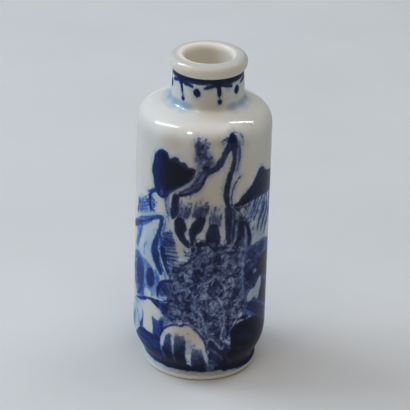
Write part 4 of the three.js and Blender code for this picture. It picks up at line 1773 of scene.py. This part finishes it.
@dataclass
class Bottle:
    """The whole porcelain bottle: its turned form, its painting and its three finishes, in millimetres.

    Attributes:
        profile: Its section.
        name: What the piece is called.
        segments: How many faces go round it.
        weld: How near points have to be to count as one.
        sharp: The least angle of an edge that stays hard.
        outside: The field that marks the outer face's points while it is made.
        buried: The height given to the inner face's points, where no paint reaches.
        ring_slack: How far inside the foot ring a face still counts as the ring's.
        under_lip: How far up the lip's underside the painted finish goes.
        neck_skin: A radius that lies within the neck's wall.
        neck_skin_from: The height from which that radius parts the outer face from the bore.
    """

    profile: Profile = field(default_factory=Profile)
    name: str = "porcelain_bottle"
    segments: int = 328
    weld: float = 1e-4
    sharp: float = math.radians(38)
    outside: str = "outside"
    buried: float = -10.0
    ring_slack: float = 0.1
    under_lip: float = 0.15
    neck_skin: float = 6.6
    neck_skin_from: float = 55.0

    def build(self) -> bpy.types.Object:
        """Turns the bottle, paints it and dresses it.

        Returns:
            The finished object, in metres, standing in the frame's own coordinates.
        """
        mesh = bpy.data.meshes.new(self.name)
        self.turn(mesh)
        self.paint(mesh)
        self.dress(mesh)
        mesh.transform(Matrix.Scale(MM, 4))
        piece = bpy.data.objects.new(self.name, mesh)
        bpy.context.scene.collection.objects.link(piece)
        return piece

    def turn(self, mesh: bpy.types.Mesh) -> None:
        """Spins the profile into a closed shell, and eases its neck and foot out of true."""
        bm = bmesh.new()
        layer = bm.verts.layers.float.new(self.outside)
        chain = []
        for points, outside in ((self.profile.outer(), 1.0), (self.profile.inner(), 0.0)):
            for radius, height in points:
                if chain and math.dist((radius, height), (-chain[-1].co.y, chain[-1].co.z)) < self.weld:
                    continue
                vert = bm.verts.new((0.0, -radius, height))
                vert[layer] = outside
                chain.append(vert)
        edges = [bm.edges.new(pair) for pair in zip(chain, chain[1:])]
        bmesh.ops.spin(
            bm,
            geom=[*chain, *edges],
            cent=(0, 0, 0),
            axis=(0, 0, 1),
            angle=math.tau,
            steps=self.segments,
            use_merge=True,
        )
        bmesh.ops.remove_doubles(bm, verts=bm.verts, dist=self.weld)
        bmesh.ops.recalc_face_normals(bm, faces=bm.faces)
        heights = np.array([vert.co.z for vert in bm.verts])
        for vert, shift in zip(bm.verts, self.profile.offset(heights)):
            vert.co.x += float(shift)
        for face in bm.faces:
            face.smooth = True
        for edge in bm.edges:
            edge.smooth = edge.calc_face_angle(0.0) < self.sharp
        bm.to_mesh(mesh)
        bm.free()

    def paint(self, mesh: bpy.types.Mesh) -> None:
        """Paints the picture and the neck's band, and stores their fields on the mesh."""
        count = len(mesh.vertices)
        places = np.empty(count * 3)
        mesh.vertices.foreach_get("co", places)
        x, y, z = places.reshape(-1, 3).T
        outside = np.empty(count, dtype=np.float32)
        mesh.attributes[self.outside].data.foreach_get("value", outside)
        radius = (self.profile.body_radius_low + self.profile.body_radius_high) / 2
        canvas = Canvas(
            across=np.arctan2(x - self.profile.offset(z), -y) * radius,
            up=np.where(outside > 0.5, z, self.buried),
            girth=math.tau * radius,
        )
        Landscape(canvas).paint()
        NeckBand(canvas, self.profile).paint()
        for name, values in canvas.attributes():
            mesh.attributes.new(name, "FLOAT", "POINT").data.foreach_set("value", values.astype(np.float32))
        mesh.attributes.remove(mesh.attributes[self.outside])

    def dress(self, mesh: bpy.types.Mesh) -> None:
        """Gives each face its finish."""
        surfaces = {Finish.PAINTED: PaintedGlaze(), Finish.GLAZED: Glazed(), Finish.BISCUIT: Biscuit()}
        for finish in Finish:
            mesh.materials.append(surfaces[finish].make())
        for face in mesh.polygons:
            x, y, z = face.center
            face.material_index = self.finish_at(math.hypot(x - float(self.profile.offset(z)), y), z).value

    def finish_at(self, radius: float, height: float) -> Finish:
        """The finish of a face: fired clay to stand on, paint outside, clear glaze on the rest.

        The inside of the shoulder has the painted finish too, with no paint in reach of it.

        Args:
            radius: How far the face's middle is from the axis.
            height: How high it is.

        Returns:
            The finish.
        """
        profile = self.profile
        ring = profile.foot_radius - profile.foot_ring_width - self.ring_slack
        if height < profile.foot_edge_round / 2 and radius > ring:
            return Finish.BISCUIT
        lowest, highest = profile.foot_plain * profile.foot_height, profile.lip_underside + self.under_lip
        skin = self.neck_skin if height > self.neck_skin_from else profile.body_radius_high - profile.wall
        return Finish.PAINTED if lowest < height < highest and radius > skin else Finish.GLAZED


# -----------------------------------------------------------------------------
# The studio
# -----------------------------------------------------------------------------


@dataclass(frozen=True)
class Lamp:
    """One soft rectangular light that faces the bottle.

    Attributes:
        name: What it is called.
        turn: Its direction round the bottle from the front, to the right, in degrees.
        elevation: Its direction above the floor, in degrees.
        distance: How far from the bottle's middle it is, in metres.
        size: Its width and its height, in metres.
        watts: Its power.
        tint: Its colour.
        lean: How far its top leans to its right, in degrees.
        glint: Whether it only shines in the glaze, and lights nothing.
    """

    name: str
    turn: float
    elevation: float
    distance: float
    size: Point
    watts: float
    tint: Colour
    lean: float = 0.0
    glint: bool = False

    def hang(self, aim: Vector) -> None:
        """Hangs the light so that it faces a point."""
        light = bpy.data.lights.new(self.name, "AREA")
        light.shape = "RECTANGLE"
        light.size, light.size_y = self.size
        light.energy = self.watts
        light.color = self.tint[:3]
        around, above = math.radians(self.turn), math.radians(self.elevation)
        level = math.cos(above)
        towards = Vector((level * math.sin(around), -level * math.cos(around), math.sin(above)))
        facing = towards.to_track_quat("Z", "Y").to_matrix()
        facing = facing @ Matrix.Rotation(-math.radians(self.lean), 3, "Z")
        lamp = bpy.data.objects.new(self.name, light)
        lamp.visible_diffuse = not self.glint
        lamp.location = aim + towards * self.distance
        lamp.rotation_euler = facing.to_euler()
        bpy.context.scene.collection.objects.link(lamp)


NEAR, FAR = 1.0, 1.35
COOL, PLAIN, WARM = (0.60, 0.77, 1.0, 1), (0.88, 0.94, 1.0, 1), (1.0, 0.78, 0.52, 1)


@dataclass
class Studio:
    """A plain pale floor, soft lights and the camera."""

    floor_size: float = 4.0
    aim_height: float = 35 * MM
    elevation: float = math.radians(26.94)
    distance: float = 419.9 * MM
    lens: float = 176.0
    roll: float = math.radians(1.69)
    shift: Point = (0.00695, 0.0063)
    nearest: float = 0.01
    surroundings: Colour = (0.9, 0.95, 1.0, 1)
    surroundings_strength: float = 0.03
    lamps: tuple[Lamp, ...] = (
        Lamp("left tube", -105.0, 50.0, NEAR, (0.08, 0.60), 9.0, (0.9, 0.96, 1.0, 1), 17, True),
        Lamp("right tube", 128.8, 51.7, NEAR, (0.05, 0.45), 5.0, (0.95, 0.98, 1.0, 1), 22, True),
        Lamp("small lamp", -38.0, 58.5, NEAR, (0.07, 0.11), 7.0, (1.0, 1.0, 1.0, 1), 0, True),
        Lamp("left key", -105.0, 50.0, FAR, (0.6, 0.6), 6.8, (0.80, 0.90, 1.0, 1)),
        Lamp("right key", 110.0, 68.0, FAR, (0.5, 0.5), 2.4, (0.9, 0.95, 1.0, 1)),
        Lamp("left softbox", -80.0, 18.0, FAR, (0.9, 0.9), 3.6, COOL),
        Lamp("back left softbox", -135.0, 30.0, FAR, (0.9, 0.9), 2.2, COOL),
        Lamp("overhead softbox", 0.0, 88.0, FAR, (1.1, 1.1), 7.4, PLAIN),
        Lamp("overhead front", 0.0, 60.0, FAR, (1.1, 1.1), 3.7, WARM),
        Lamp("overhead left", -80.0, 62.0, FAR, (0.9, 0.9), 0.5, COOL),
    )

    def floor(self) -> None:
        """Lays the floor that the bottle stands on."""
        mesh = bpy.data.meshes.new("studio_floor")
        bm = bmesh.new()
        bmesh.ops.create_grid(bm, x_segments=1, y_segments=1, size=self.floor_size / 2)
        bm.to_mesh(mesh)
        bm.free()
        mesh.materials.append(PaleFloor().make())
        floor = bpy.data.objects.new("studio_floor", mesh)
        bpy.context.scene.collection.objects.link(floor)

    def light(self) -> None:
        """Hangs the lights and sets the dim surroundings."""
        world = bpy.data.worlds.new("studio surroundings")
        world.use_nodes = True
        background = world.node_tree.nodes["Background"].inputs
        background["Color"].default_value = self.surroundings
        background["Strength"].default_value = self.surroundings_strength
        bpy.context.scene.world = world
        for lamp in self.lamps:
            lamp.hang(Vector((0, 0, self.aim_height)))

    def camera(self) -> None:
        """Sets the camera: above the front, level with the bottle's middle, leaning a little."""
        back = Vector((0, -math.cos(self.elevation), math.sin(self.elevation)))
        right = Vector((1, 0, 0))
        up = back.cross(right)
        cos, sin = math.cos(self.roll), math.sin(self.roll)
        place = Vector((0, 0, self.aim_height)) + back * self.distance
        axes = Matrix((right * cos + up * sin, up * cos - right * sin, back)).transposed()
        data = bpy.data.cameras.new("camera")
        data.lens = self.lens
        data.shift_x, data.shift_y = self.shift
        data.clip_start = self.nearest
        camera = bpy.data.objects.new("camera", data)
        camera.matrix_world = Matrix.Translation(place) @ axes.to_4x4()
        bpy.context.scene.collection.objects.link(camera)
        bpy.context.scene.camera = camera


def main() -> None:
    """Builds the scene round the frame."""
    logging.basicConfig(level=logging.INFO, format="%(name)s: %(message)s")
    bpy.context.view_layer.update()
    bpy.context.scene.view_settings.view_transform = "Standard"
    studio = Studio()
    studio.camera()
    studio.floor()
    studio.light()
    bottle = Bottle().build()
    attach(bottle, "root")
    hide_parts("bottle")
    log.info("%s: %d faces", bottle.name, len(bottle.data.polygons))


if __name__ == "__main__":
    main()
